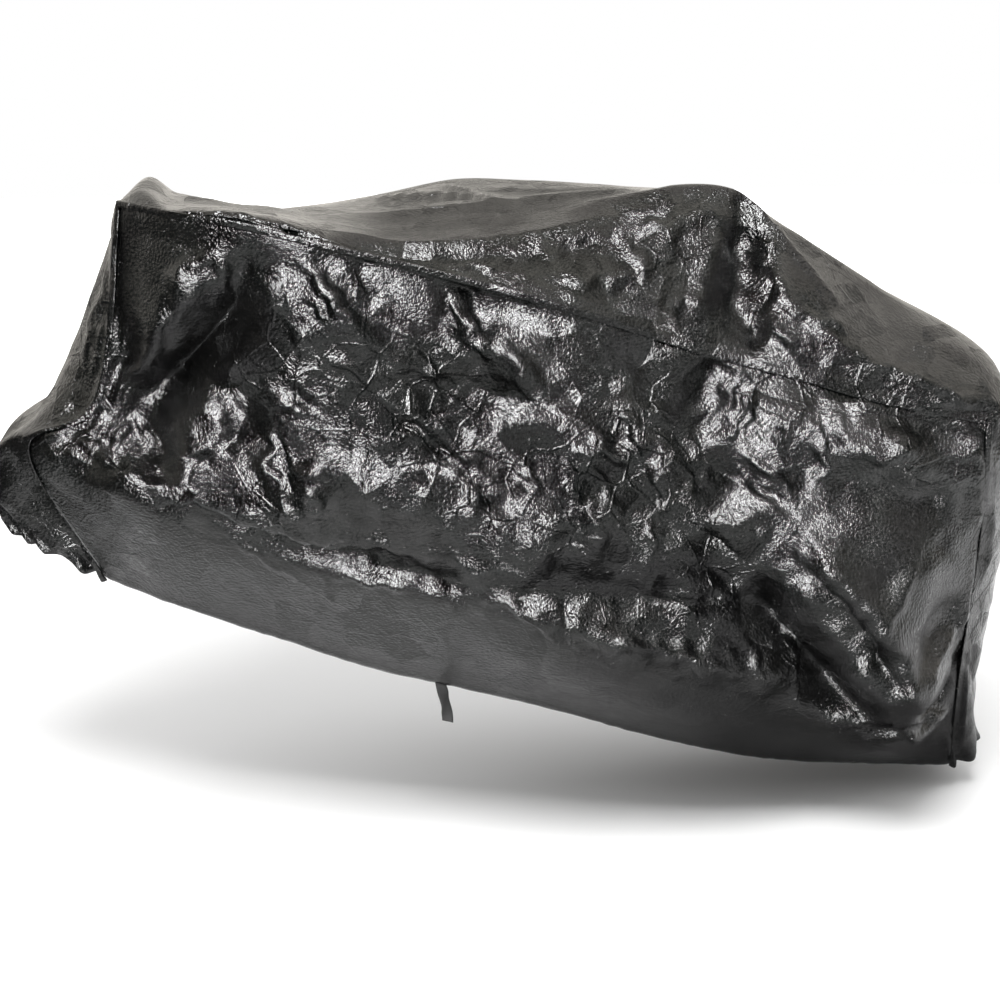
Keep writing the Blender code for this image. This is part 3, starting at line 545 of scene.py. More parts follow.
@dataclass(frozen=True)
class Creasing:
    """Sharp creases as flat-faced roofs and troughs."""

    towards: tuple[float, float] = (-0.45, 0.89)  # broad faces look this way, up and to the left
    boldness: float = 1.0  # scales every crest
    short_face: float = 0.45  # a ledge's other face, as a share of its broad one
    wander: float = 0.004  # how far a path strays from its straight legs
    wander_length: float = 0.045
    end_share: float = 0.30  # the share of a crease's length over which it fades at each end

    def height(self, x: Grid, z: Grid, creases: tuple[Crease, ...]) -> Grid:
        """The sum of all creases, each its push times its section.

        Args:
            x: first coordinates of the points.
            z: second coordinates.
            creases: the creases.

        Returns:
            How far each point stands out.
        """
        x, z = self.strayed(x, z)
        total = np.zeros(x.shape)
        for one in creases:
            total += self.boldness * one.push * self.section(*from_path(x, z, one.path), one)
        return total

    def strayed(self, x: Grid, z: Grid) -> tuple[Grid, Grid]:
        """Coordinates bent by slow waves, so that straight legs come out uneven.

        Each is the sum of two sines, whose odd ratios and starts keep the bends from repeating.
        """
        turn = 2 * math.pi / self.wander_length
        wave_x = np.sin(turn * z + 2 * np.sin(0.37 * turn * x)) + np.sin(0.43 * turn * z + 1)
        wave_z = np.sin(0.9 * turn * x + 1.7) + np.sin(0.39 * turn * (x + z) + 4)
        return x + self.wander * wave_x, z + self.wander * wave_z

    def section(self, distance: Grid, along: Grid, one: Crease) -> Grid:
        """The section of one crease, 1 at its crest and 0 beyond its faces, fading at its two ends.

        A face falls by distance / width, and a roll is exp(-(distance / width)^2).

        Args:
            distance: from the path, positive on its left.
            along: the share of the path's length.
            one: the crease.

        Returns:
            The share of the crest's height at each point.
        """
        heading = np.array(one.path[-1]) - np.array(one.path[0])
        left = np.array([-heading[1], heading[0]])
        lit = distance * (1 if left @ np.array(self.towards) > 0 else -1)
        fade = np.clip(along / self.end_share, 0, 1) * np.clip((1 - along) / self.end_share, 0, 1)
        if one.profile is Profile.ROLL:
            roof = np.exp(-((lit / one.width) ** 2))
        elif one.profile is Profile.VEE:
            roof = 1 - np.abs(lit) / one.width
        else:
            crest = lit + one.width / 2
            roof = np.minimum(1 - crest / one.width, 1 + crest / (self.short_face * one.width))
        return np.clip(roof, 0, 1) * fade


@dataclass(frozen=True)
class Crumple:
    """The all-over crumple of stiff coated cloth: flat facets that meet in sharp lines, at several sizes."""

    seed: int = 11
    table: int = 64  # corner heights each way before they repeat
    sizes: tuple[float, ...] = (0.150, 0.080, 0.044, 0.024)  # a facet's side
    heights: tuple[float, ...] = (0.0110, 0.0075, 0.0036, 0.0012)
    turns: tuple[float, ...] = (-0.9, -0.5, -1.1, 0.3)  # the way that facets are stretched, in radians
    stretches: tuple[float, ...] = (1.8, 1.7, 1.5, 1.2)
    bend: float = 0.28  # how far the facets' edges are bent, in sides
    bend_length: float = 3.1  # and over what length

    def height(self, u: Grid, v: Grid) -> Grid:
        """Sum of facets at every size.

        Args:
            u: length along the cloth.
            v: length down the cloth.

        Returns:
            How far each point stands out.
        """
        rng = np.random.default_rng(self.seed)
        total = np.zeros(u.shape)
        for size, height, turn, stretch in zip(self.sizes, self.heights, self.turns, self.stretches):
            corners = rng.uniform(-1, 1, (self.table, self.table))
            total += height * self.facets(u, v, size, turn, stretch, corners)
        return total

    def facets(self, u: Grid, v: Grid, size: float, turn: float, stretch: float, corners: Grid) -> Grid:
        """A sheet of triangles whose corners have given heights, flat inside each triangle.

        The coordinates are first bent by sines, whose odd ratios and starts keep the bends from repeating.

        Args:
            u: length along the cloth.
            v: length down the cloth.
            size: a triangle's side.
            turn: the way the triangles are stretched, in radians from u.
            stretch: how many times longer they are that way.
            corners: a square table of corner heights, used over and over.

        Returns:
            The height at each point.
        """
        wave = 2 * math.pi / (self.bend_length * size)
        bend = self.bend * size
        bent_u = u + bend * (np.sin(wave * v + 1.3) + np.sin(0.61 * wave * (u + v) + size * 900))
        bent_v = v + bend * (np.sin(wave * u + 0.4) + np.sin(0.57 * wave * (u - v) + size * 700))
        a = (bent_u * math.cos(turn) + bent_v * math.sin(turn)) / (size * stretch)
        b = (bent_v * math.cos(turn) - bent_u * math.sin(turn)) / size
        row = b / (math.sqrt(3) / 2)
        column = a - row / 2
        i, j = np.floor(column).astype(int), np.floor(row).astype(int)
        f, g = column - i, row - j
        low = f + g < 1

        def at(di: int, dj: int) -> Grid:
            """The height of the corner this many columns and rows further on."""
            return corners[(i + di) % self.table, (j + dj) % self.table]

        lower = (1 - f - g) * at(0, 0) + f * at(1, 0) + g * at(0, 1)
        upper = (f + g - 1) * at(1, 1) + (1 - g) * at(1, 0) + (1 - f) * at(0, 1)
        return np.where(low, lower, upper)


def calmed(x: Grid, z: Grid, areas: tuple[Calm, ...]) -> Grid:
    """The share of crumple at each point: a product of ovals, each fading as exp(-r^4) of its own radius."""
    share = np.ones(x.shape)
    for area in areas:
        r = np.hypot((x - area.centre[0]) / area.reach[0], (z - area.centre[1]) / area.reach[1])
        share *= 1 - (1 - area.share) * np.exp(-(r**4))
    return share


@dataclass(frozen=True)
class Hem:
    """A turned hem on elastic: a narrow roll at the edge, and gathers that die out above it."""

    width: float = 0.014
    roll: float = 0.0014  # how far the turned edge stands out
    gather: float = 0.0004  # how far the gathers do
    spacing: float = 0.048  # from gather to gather
    reach: float = 0.030  # how far above the edge they die out

    def height(self, along: Grid, above: Grid) -> Grid:
        """A roll, half a sine over the hem's width, and gathers, a sine along it times exp(-above / reach).

        The gathers' phase and strength sway slowly, so that no two are alike.

        Args:
            along: length along the hem.
            above: distance from the hem's edge.

        Returns:
            How far each point stands out.
        """
        turn = 2 * math.pi / self.spacing
        strength = 1 + 0.4 * np.sin(0.17 * turn * along)
        wave = np.sin(turn * along + 1.9 * np.sin(0.31 * turn * along)) * strength
        roll = self.roll * np.sin(np.pi * np.clip(above / self.width, 0, 1))
        return roll + self.gather * wave * np.exp(-above / self.reach)


# ------------------------------------------------------------------ materials


HALF: Place = (0.5, 0.5, 0.5)


def linear(code: str) -> tuple[float, float, float, float]:
    """An sRGB hex colour as linear values with full alpha."""
    parts = [int(code[k : k + 2], 16) / 255 for k in (1, 3, 5)]
    lin = [p / 12.92 if p <= 0.04045 else ((p + 0.055) / 1.055) ** 2.4 for p in parts]
    return (*lin, 1.0)


def add(tree: Tree, kind: str, settings: dict | None = None, **inputs: object) -> Node:
    """Adds a node, sets its properties, and fills or links its inputs.

    Args:
        tree: the node tree.
        kind: the node's type name, without "ShaderNode".
        settings: properties of the node.
        inputs: values or output sockets, by the input's name with underscores for spaces, or by its
            number after an underscore. A Mix node's two values are _2 and _3, and its colours _6 and _7.
            None leaves an input alone.

    Returns:
        The node.
    """
    node = tree.nodes.new("ShaderNode" + kind)
    for name, value in (settings or {}).items():
        setattr(node, name, value)
    for name, value in inputs.items():
        key = int(name[1:]) if name[0] == "_" else name.replace("_", " ")
        if isinstance(value, Socket):
            tree.links.new(value, node.inputs[key])
        elif value is not None:
            node.inputs[key].default_value = value
    return node


class Ramp(NamedTuple):
    """A straight ramp from low at start to high at end, level beyond them."""

    start: float
    end: float
    low: float
    high: float

    def inputs(self, origin: float = 0.0) -> dict[str, float]:
        """The inputs of a Map Range node that gives it, for a value measured from origin."""
        return {
            "From_Min": self.start - origin,
            "From_Max": self.end - origin,
            "To_Min": self.low,
            "To_Max": self.high,
        }


def new_material(name: str) -> tuple[bpy.types.Material, Tree]:
    """An empty node material and its tree."""
    made = bpy.data.materials.new(name)
    made.use_nodes = True
    made.node_tree.nodes.clear()
    return made, made.node_tree


def ridges(tree: Tree, length: Socket, wave_mm: float) -> Socket:
    """A sine of a length in metres, with this many millimetres from crest to crest."""
    angle = add(tree, "Math", {"operation": "MULTIPLY"}, _0=length, _1=2 * math.pi / (wave_mm / 1000))
    return add(tree, "Math", {"operation": "SINE"}, _0=angle.outputs[0]).outputs[0]


@dataclass(frozen=True)
class Bend:
    """Bends coordinates by a noise, so that what is drawn on them has uneven edges."""

    waves: float  # of the noise to each cell of the pattern
    reach: float  # how far it bends them, in cells
    detail: float

    def build(self, tree: Tree, place: Socket, size: float) -> Socket:
        """Adds reach * (noise - 1/2) to the coordinates, in cells.

        Args:
            tree: the node tree.
            place: the coordinates.
            size: a cell, in millimetres.

        Returns:
            The bent coordinates.
        """
        noise = add(tree, "TexNoise", Vector=place, Scale=1000 * self.waves / size, Detail=self.detail)
        centred = add(tree, "VectorMath", {"operation": "SUBTRACT"}, _0=noise.outputs["Color"], _1=HALF)
        reach = self.reach * size / 1000
        shift = add(tree, "VectorMath", {"operation": "SCALE"}, _0=centred.outputs[0], Scale=reach)
        return add(tree, "VectorMath", {"operation": "ADD"}, _0=place, _1=shift.outputs[0]).outputs[0]


@dataclass(frozen=True)
class CoatedWovenPolythene:
    """Black polythene tape cloth with a film melted onto both faces, as a tarpaulin has.

    The film makes it glossy and stiff. It draws down between the tapes, so a highlight breaks into
    small specks, and it keeps the facets and fine lines that handling folds into it. Where it is
    worn it whitens a little.
    """

    name: str = "coated_woven_polythene_black"
    film: str = "#070707"
    worn: str = "#111110"
    wear_scale: float = 9.0  # worn clouds to the metre
    wear: Ramp = Ramp(0.42, 0.75, 0.0, 1.0)
    roughness: float = 0.19
    ior: float = 1.52
    tape_mm: float = 4.6  # real tapes are 2.5 mm wide; drawn wider so that they show at one pixel to 1.6 mm
    tape_depth_mm: float = 0.05
    pebble_mm: float = 5.0  # where the film draws down, drawn as coarse as the tapes
    pebble_depth_mm: float = 2.6
    facet_mm: tuple[float, ...] = (75.0, 26.0)  # the fine crinkle that handling leaves
    facet_slope: tuple[float, ...] = (0.22, 0.11)
    facet_bend: Bend = Bend(0.5, 0.9, 0.0)
    line_mm: float = 60.0  # from line to line, where the film has been folded
    line_width_mm: float = 2.6
    line_height_mm: float = 1.3
    line_bend: Bend = Bend(0.7, 0.35, 1.0)
    patches: float = 0.3  # the lines come in patches: noise waves to each cell between lines
    patch: Ramp = Ramp(0.45, 0.60, 0.0, 1.0)

    def build(self) -> bpy.types.Material:
        """Builds the material: weave on the cloth's own UV lengths, the rest on Object coordinates."""
        made, tree = new_material(self.name)
        place = add(tree, "TexCoord").outputs["Object"]
        normal = None
        for height, depth in self.relief(tree, place):
            bump = add(tree, "Bump", Strength=1.0, Distance=depth, Height=height, Normal=normal)
            normal = bump.outputs["Normal"]
        cloud = add(tree, "TexNoise", Vector=place, Scale=self.wear_scale, Detail=1.0, Roughness=0.65)
        wear = add(tree, "MapRange", Value=cloud.outputs["Fac"], **self.wear.inputs())
        film, worn = linear(self.film), linear(self.worn)
        colour = add(tree, "Mix", {"data_type": "RGBA"}, Factor=wear.outputs[0], _6=film, _7=worn)
        shader = add(
            tree,
            "BsdfPrincipled",
            Base_Color=colour.outputs[2],
            Roughness=self.roughness,
            IOR=self.ior,
            Normal=normal,
        )
        add(tree, "OutputMaterial", Surface=shader.outputs[0])
        return made

    def relief(self, tree: Tree, place: Socket) -> list[tuple[Socket, float]]:
        """What stands on the film, from the coarsest to the finest.

        Facets and lines are as strong as the piece's own crinkle attribute says.

        Args:
            tree: the node tree.
            place: the coordinates.

        Returns:
            Heights, and how many metres a height of 1 stands for.
        """
        share = add(tree, "Attribute", {"attribute_name": "crinkle"}).outputs["Fac"]
        parts = []
        for size, slope in zip(self.facet_mm, self.facet_slope):
            facets = self.facets(tree, place, size, slope)
            facets = add(tree, "Math", {"operation": "MULTIPLY"}, _0=facets, _1=share)
            parts.append((facets.outputs[0], 1.0))
        lines = add(tree, "Math", {"operation": "MULTIPLY"}, _0=self.lines(tree, place), _1=share)
        parts.append((lines.outputs[0], self.line_height_mm / 1000))
        pebble = add(tree, "TexNoise", Vector=place, Scale=1000 / self.pebble_mm, Detail=2.0, Roughness=0.6)
        parts.append((pebble.outputs["Fac"], self.pebble_depth_mm / 1000))
        cloth = add(tree, "UVMap", {"uv_map": "cloth"})
        apart = add(tree, "SeparateXYZ", Vector=cloth.outputs["UV"])
        warp, weft = (ridges(tree, apart.outputs[way], 2 * self.tape_mm) for way in "XY")
        weave = add(tree, "Math", {"operation": "MULTIPLY"}, _0=warp, _1=weft)
        parts.append((weave.outputs[0], self.tape_depth_mm / 1000))
        return parts

    def facets(self, tree: Tree, place: Socket, size: float, slope: float) -> Socket:
        """Flat facets with sharp edges: in each cell the offset from its middle, times the cell's own tilt.

        Args:
            tree: the node tree.
            place: the coordinates.
            size: a cell, in millimetres.
            slope: the largest tilt each way.

        Returns:
            The height in metres.
        """
        bent = self.facet_bend.build(tree, place, size)
        cells = add(tree, "TexVoronoi", Vector=bent, Scale=1000 / size, Randomness=1.0)
        offset = add(tree, "VectorMath", {"operation": "SUBTRACT"}, _0=bent, _1=cells.outputs["Position"])
        tilt = add(tree, "VectorMath", {"operation": "SUBTRACT"}, _0=cells.outputs["Color"], _1=HALF)
        dot = add(tree, "VectorMath", {"operation": "DOT_PRODUCT"}, _0=offset.outputs[0], _1=tilt.outputs[0])
        height = add(tree, "Math", {"operation": "MULTIPLY"}, _0=dot.outputs["Value"], _1=2 * slope)
        return height.outputs[0]

    def lines(self, tree: Tree, place: Socket) -> Socket:
        """Thin lines between uneven cells, in patches: 1 on a line, 0 off it."""
        size = self.line_mm
        bent = self.line_bend.build(tree, place, size)
        edge = {"feature": "DISTANCE_TO_EDGE"}
        edges = add(tree, "TexVoronoi", edge, Vector=bent, Scale=1000 / size, Randomness=1.0)
        width = Ramp(0.0, self.line_width_mm / size, 1.0, 0.0)
        line = add(tree, "MapRange", Value=edges.outputs["Distance"], **width.inputs())
        noise = add(tree, "TexNoise", Vector=place, Scale=1000 * self.patches / size, Detail=0.0)
        shown = add(tree, "MapRange", Value=noise.outputs["Fac"], **self.patch.inputs())
        both = add(tree, "Math", {"operation": "MULTIPLY"}, _0=line.outputs[0], _1=shown.outputs[0])
        return both.outputs[0]


@dataclass(frozen=True)
class PolyesterWebbing:
    """Black polyester webbing, woven: dull, with fine cross ribs whose crests are painted lighter as a
    highlight.
    """

    name: str = "polyester_webbing_black"
    yarn: str = "#0d0d0d"
    # painted highlight: the colour of the ribs' crests
    lit: str = "#191919"
    rib_mm: float = 1.6
    rib_depth_mm: float = 0.3
    roughness: float = 0.75

    def build(self) -> bpy.types.Material:
        """Builds the material, its ribs a sine of the length along the strap, which also mixes the painted
        highlight onto their crests.
        """
        made, tree = new_material(self.name)
        cloth = add(tree, "UVMap", {"uv_map": "cloth"})
        apart = add(tree, "SeparateXYZ", Vector=cloth.outputs["UV"])
        rib = ridges(tree, apart.outputs["Y"], self.rib_mm)
        yarn, lit = linear(self.yarn), linear(self.lit)
        # the crests take the lighter colour: a painted highlight
        colour = add(tree, "Mix", {"data_type": "RGBA"}, Factor=rib, _6=yarn, _7=lit)
        bump = add(tree, "Bump", Strength=1.0, Distance=self.rib_depth_mm / 1000, Height=rib)
        shader = add(
            tree,
            "BsdfPrincipled",
            Base_Color=colour.outputs[2],
            Roughness=self.roughness,
            Normal=bump.outputs["Normal"],
        )
        add(tree, "OutputMaterial", Surface=shader.outputs[0])
        return made


# ------------------------------------------------------------------ the pieces


def put(name: str, data: bpy.types.ID) -> bpy.types.Object:
    """A new object in the scene."""
    made = bpy.data.objects.new(name, data)
    bpy.context.scene.collection.objects.link(made)
    return made


def sheet_mesh(
    name: str,
    points: Grid,
    uv: Grid,
    thickness: float,
    finish: bpy.types.Material,
    crinkle: Grid | float = 1.0,
) -> bpy.types.Object:
    """Makes a grid of points a sheet of quads in the part's frame, thickened inwards.

    Args:
        name: the piece's name.
        points: the outer face, rows x columns x 3, measured from the floor.
        uv: lengths on the cloth at each point, rows x columns x 2.
        thickness: of the cloth.
        finish: its material.
        crinkle: how much of the finish's fine crinkle each point has.

    Returns:
        The object, at the origin.
    """
    rows, columns = points.shape[:2]
    index = np.arange(rows * columns).reshape(rows, columns)
    quads = np.stack([index[:-1, :-1], index[1:, :-1], index[1:, 1:], index[:-1, 1:]], axis=-1).reshape(-1, 4)
    mesh = bpy.data.meshes.new(name)
    mesh.vertices.add(rows * columns)
    mesh.vertices.foreach_set("co", (points - np.array(SADDLE_REST)).astype(np.float32).ravel())
    mesh.loops.add(quads.size)
    mesh.loops.foreach_set("vertex_index", quads.astype(np.int32).ravel())
    mesh.polygons.add(len(quads))
    mesh.polygons.foreach_set("loop_start", np.arange(0, quads.size, 4, dtype=np.int32))
    mesh.update(calc_edges=True)
    layer = mesh.uv_layers.new(name="cloth")
    layer.data.foreach_set("uv", uv.reshape(-1, 2)[quads.ravel()].astype(np.float32).ravel())
    share = mesh.attributes.new("crinkle", "FLOAT", "POINT")
    share.data.foreach_set("value", np.broadcast_to(crinkle, (rows, columns)).astype(np.float32).ravel())
    mesh.shade_smooth()
    mesh.materials.append(finish)
    made = put(name, mesh)
    thick = made.modifiers.new("cloth", "SOLIDIFY")
    thick.thickness = thickness
    thick.offset = -1
    return made


@dataclass(frozen=True)
class SidePanel:
    """One side of the cover, from the seam down to the hem."""

    node: str
    rails: tuple[Rails, ...]
    folds: tuple[Fold, ...]
    outward: int  # -1 on the near side, 1 on the far side
    column_steps: int  # columns from one station to the next
    row_steps: tuple[int, int, int]  # rows from one rail to the next
    creases: tuple[Crease, ...] = ()
    calm: tuple[Calm, ...] = ()
    crumple: Crumple = Crumple()
    creasing: Creasing = Creasing()
    hem: Hem = Hem()
    band_share: float = 0.14  # the crumple left on the smooth band below the belly
    band_rows: tuple[float, float] = (1.95, 2.15)  # where it starts, in rails from the seam
    band_crinkle: float = 0.40  # the fine crinkle left there
    band_crinkle_rows: tuple[float, float] = (1.9, 2.2)
    seam_tuck: float = 0.0020  # the panel draws in this far where the gusset is sewn over it
    seam_tuck_reach: float = 0.010
    crease_calm: float = 0.016  # creases fade out this close to the edge

    def smooth(self) -> Grid:
        """The panel on its rails with its large folds, as the solid has it."""
        columns = steps((self.column_steps,) * (len(self.rails) - 1))
        rails = [through([getattr(row, rail) for row in self.rails], columns) for rail in Rails._fields]
        rows = steps(self.row_steps)
        grid = np.stack([through([rail[k] for rail in rails], rows) for k in range(len(columns))], axis=1)
        return fold(grid, self.folds, self.outward, np.clip(self.to_edge(grid) / EDGE_CALM, 0, 1) ** 2)

    def rows(self, grid: Grid) -> Grid:
        """How far down the panel each point lies, in rails from the seam."""
        return np.broadcast_to(steps(self.row_steps)[:, None], grid.shape[:2])

    @staticmethod
    def to_edge(grid: Grid) -> Grid:
        """Distance from each point to the nearest sewn edge, along its own row or column."""
        return np.minimum.reduce(
            [
                np.linalg.norm(grid - grid[:1], axis=-1),
                np.linalg.norm(grid - grid[:, :1], axis=-1),
                np.linalg.norm(grid - grid[:, -1:], axis=-1),
            ]
        )

    def creased(self, grid: Grid) -> Grid:
        """The panel with its creases, crumple, hem and sewn edge, all along its own normals."""
        x, z = grid[..., 0], grid[..., 2]
        out = normals(grid)
        out *= np.sign(self.outward * out[..., 1].mean())
        edge = self.to_edge(grid)
        band = 1 - (1 - self.band_share) * smooth_step(self.rows(grid), *self.band_rows)
        free = smooth_step(edge, 0, self.crease_calm)
        down = arc(grid, 0)
        above_hem = down[-1:] - down
        height = self.crumple.height(x, down) * calmed(x, z, self.calm) * band * free
        height += self.creasing.height(x, z, self.creases) * free
        height += self.hem.height(arc(grid[-1:], 1), above_hem)
        height -= self.seam_tuck * np.exp(-((edge / self.seam_tuck_reach) ** 2))
        return grid + out * height[..., None]

    def build(self, finish: bpy.types.Material) -> bpy.types.Object:
        """Builds the panel and names what it stands for."""
        smooth = self.smooth()
        points = self.creased(smooth)
        uv = np.stack([arc(smooth, 1), arc(smooth, 0)], axis=-1)
        band = 1 - (1 - self.band_crinkle) * smooth_step(self.rows(smooth), *self.band_crinkle_rows)
        crinkle = calmed(smooth[..., 0], smooth[..., 2], self.calm) * band
        made = sheet_mesh(f"{self.node}_cloth", points, uv, SHEET, finish, crinkle)
        if self.outward > 0:
            made.data.flip_normals()
        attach(made, "root")
        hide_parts(self.node)
        return made


@dataclass(frozen=True)
class Gusset:
    """The long strip that closes the front, the top and the rear between the two side panels."""

    near: SidePanel
    far: SidePanel
    rise_steps: tuple[int, int, int] = (24, 24, 28)  # columns along each end, from the corner down
    column_steps: int = 34  # columns from one station of the top to the next
    across: tuple[int, ...] = (30, 18, 14, 16)  # rows from rim to shoulder, crown, shoulder and rim
    lap_rows: tuple[float, ...] = (1.0, 0.67, 0.34)  # rows on the sewn edge, as shares of its width
    crumple: Crumple = Crumple(seed=23, turns=(-0.5, 0.35, -0.8, 0.6))
    hem: Hem = Hem(gather=0.0075, spacing=0.046, reach=0.034)
    creasing: Creasing = Creasing()
    top_creasing: Creasing = Creasing(towards=(-0.3, -0.95), boldness=0.8, wander=0.003, wander_length=0.16)
    crown_calm: float = 0.92  # the share of the crumple that the top lacks
    crown_lean: tuple[float, float] = (0.25, 0.65)  # upward part of the normal from which it is the top
    top_lean: tuple[float, float] = (0.3, 0.7)  # and from which it has the top's creases
    near_lean: tuple[float, float] = (0.1, 0.5)  # and the near part, for the creases that hang there
    rim_calm: float = 0.25  # crumple and creases fade out this close to a rim, in rows
    shoulder_lift: float = 0.022  # how much further the shoulder over the near seam stands out
    shoulder_rows: tuple[float, ...] = (0.0, 0.78, 1.0, 1.9)  # its foot, its edge and where it ends
    shoulder_shares: tuple[float, ...] = (0.0, 0.05, 1.0, 0.0)
    shoulder_span: tuple[float, ...] = (-0.34, -0.24, 0.10, 0.26)  # x where it starts, is full, and ends
    edge_depth: int = 3  # points of a panel this far in give the way into it
    evening: int = 60  # rounds of averaging for those ways

    def sewn_edge(self, panel: SidePanel) -> tuple[Grid, Grid, Grid]:
        """A panel's sewn edge at the gusset's own columns.

        Args:
            panel: the side panel.

        Returns:
            The edge's points, unit directions from them into the panel, and unit normals.
        """
        grid = panel.smooth()
        deep = self.edge_depth
        front, top, rear = grid[:0:-1, 0], grid[0], grid[1:, -1]
        edge = np.vstack([front, top, rear])
        inner = np.vstack([grid[:0:-1, deep], grid[deep], grid[1:, -1 - deep]])
        inward = unit(inner - edge)
        before, after = np.vstack([edge[:1], edge[:-1]]), np.vstack([edge[1:], edge[-1:]])
        out = unit(np.cross(inward, unit(after - before)))
        out *= np.sign(panel.outward * out[:, 1:2].mean())
        along_top = (panel.column_steps,) * (len(panel.rails) - 1)
        places = steps(panel.row_steps[::-1] + along_top + panel.row_steps)
        wanted = self.places()
        edge, inward, out = (
            np.stack([np.interp(wanted, places, part[:, axis]) for axis in range(3)], axis=-1)
            for part in (edge, self.evened(inward), self.evened(out))
        )
        return edge, unit(inward), unit(out)

    def evened(self, directions: Grid) -> Grid:
        """Directions averaged with their neighbours many times over."""
        for _ in range(self.evening):
            padded = np.vstack([directions[:1], directions, directions[-1:]])
            directions = unit(padded[:-2] + 2 * directions + padded[2:])
        return directions

    def places(self) -> Grid:
        """The gusset's columns: up the front, along the top and down the rear."""
        return steps(self.rise_steps[::-1] + (self.column_steps,) * (len(NEAR_RAILS) - 1) + self.rise_steps)

    def smooth(self) -> tuple[Grid, Grid]:
        """The gusset on its ribs with its large folds.

        Returns:
            Its points, and the rows' places from the near rim, 0, to the far rim, 4.
        """
        near_edge, near_in, near_out = self.sewn_edge(self.near)
        far_edge, far_in, far_out = self.sewn_edge(self.far)
        arches = FRONT_ARCHES + TOP_ARCHES + REAR_ARCHES
        rails = [through([getattr(row, rail) for row in arches], self.places()) for rail in Arch._fields]
        lift = SEAM_GAP + SHEET
        near_rim = near_edge + lift * near_out - SEAM_RISE * near_in
        far_rim = far_edge + lift * far_out - SEAM_RISE * far_in
        ribs = [near_rim, *rails, far_rim]
        rows = steps(self.across)
        grid = np.stack([through([rib[k] for rib in ribs], rows) for k in range(len(near_rim))], axis=1)
        hanging = np.clip(2 - rows, 0, 1) * np.clip(rows / FOLD_START, 0, 1)
        grid = fold(grid, GUSSET_FOLDS + GUSSET_LEANS, -1, hanging[:, None])
        lap = np.array(self.lap_rows)[:, None, None]
        near_lap = near_rim + lap * (SEAM_RISE + SEAM_LAP) * near_in
        far_lap = far_rim + lap[::-1] * (SEAM_RISE + SEAM_LAP) * far_in
        places = np.pad(rows, len(self.lap_rows), mode="edge")
        return np.concatenate([near_lap, grid, far_lap]), places

    def shoulder(self, rows: Grid, x: Grid) -> Grid:
        """The lift along the shoulder: straight lines from row to row, faded in and out along the top."""
        first, full, last, end = self.shoulder_span
        along = smooth_step(x, first, full) * (1 - smooth_step(x, last, end))
        return self.shoulder_lift * np.interp(rows, self.shoulder_rows, self.shoulder_shares)[:, None] * along

    def creased(self, smooth: Grid, rows: Grid, calm: Grid) -> Grid:
        """The gusset with its creases, crumple, shoulder and two end hems, all along its own normals.

        Args:
            smooth: its points before.
            rows: the rows' places.
            calm: the share of crumple at each point.

        Returns:
            Its points.
        """
        x, y, z = (smooth[..., axis] for axis in range(3))
        out = normals(smooth)
        out *= np.sign(out[smooth.shape[0] // 2, smooth.shape[1] // 2, 2])
        up, near = out[..., 2], -out[..., 1]
        free = smooth_step(rows, 0.0, self.rim_calm)
        free *= 1 - smooth_step(rows, rows[-1] - self.rim_calm, rows[-1])
        free = free[:, None]
        along, across = self.lengths(smooth)
        crown = 1 - self.crown_calm * smooth_step(up, *self.crown_lean)
        height = self.crumple.height(along, across) * calm * free * crown
        height += self.creasing.height(x, z, GUSSET_CREASES) * free * smooth_step(near, *self.near_lean)
        height += self.top_creasing.height(x, y, TOP_CREASES) * smooth_step(up, *self.top_lean)
        height += self.shoulder(rows, x)
        ends = arc(smooth, 1)
        height += self.hem.height(across, ends) + self.hem.height(across, ends[:, -1:] - ends)
        return smooth + out * height[..., None]

    @staticmethod
    def lengths(smooth: Grid) -> tuple[Grid, Grid]:
        """Lengths on the cloth: along it, as its middle row has them, and across it from the near rim."""
        along = arc(smooth, 1)[smooth.shape[0] // 2]
        return np.broadcast_to(along, smooth.shape[:2]), arc(smooth, 0)

    def build(self, finish: bpy.types.Material) -> bpy.types.Object:
        """Builds the gusset and names what it stands for."""
        smooth, rows = self.smooth()
        calm = calmed(smooth[..., 0], smooth[..., 2], GUSSET_CALM)
        points = self.creased(smooth, rows, calm)
        uv = np.stack(self.lengths(smooth), axis=-1)
        made = sheet_mesh("gusset_cloth", points, uv, SHEET, finish, calm)
        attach(made, "root")
        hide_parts("gusset")
        return made


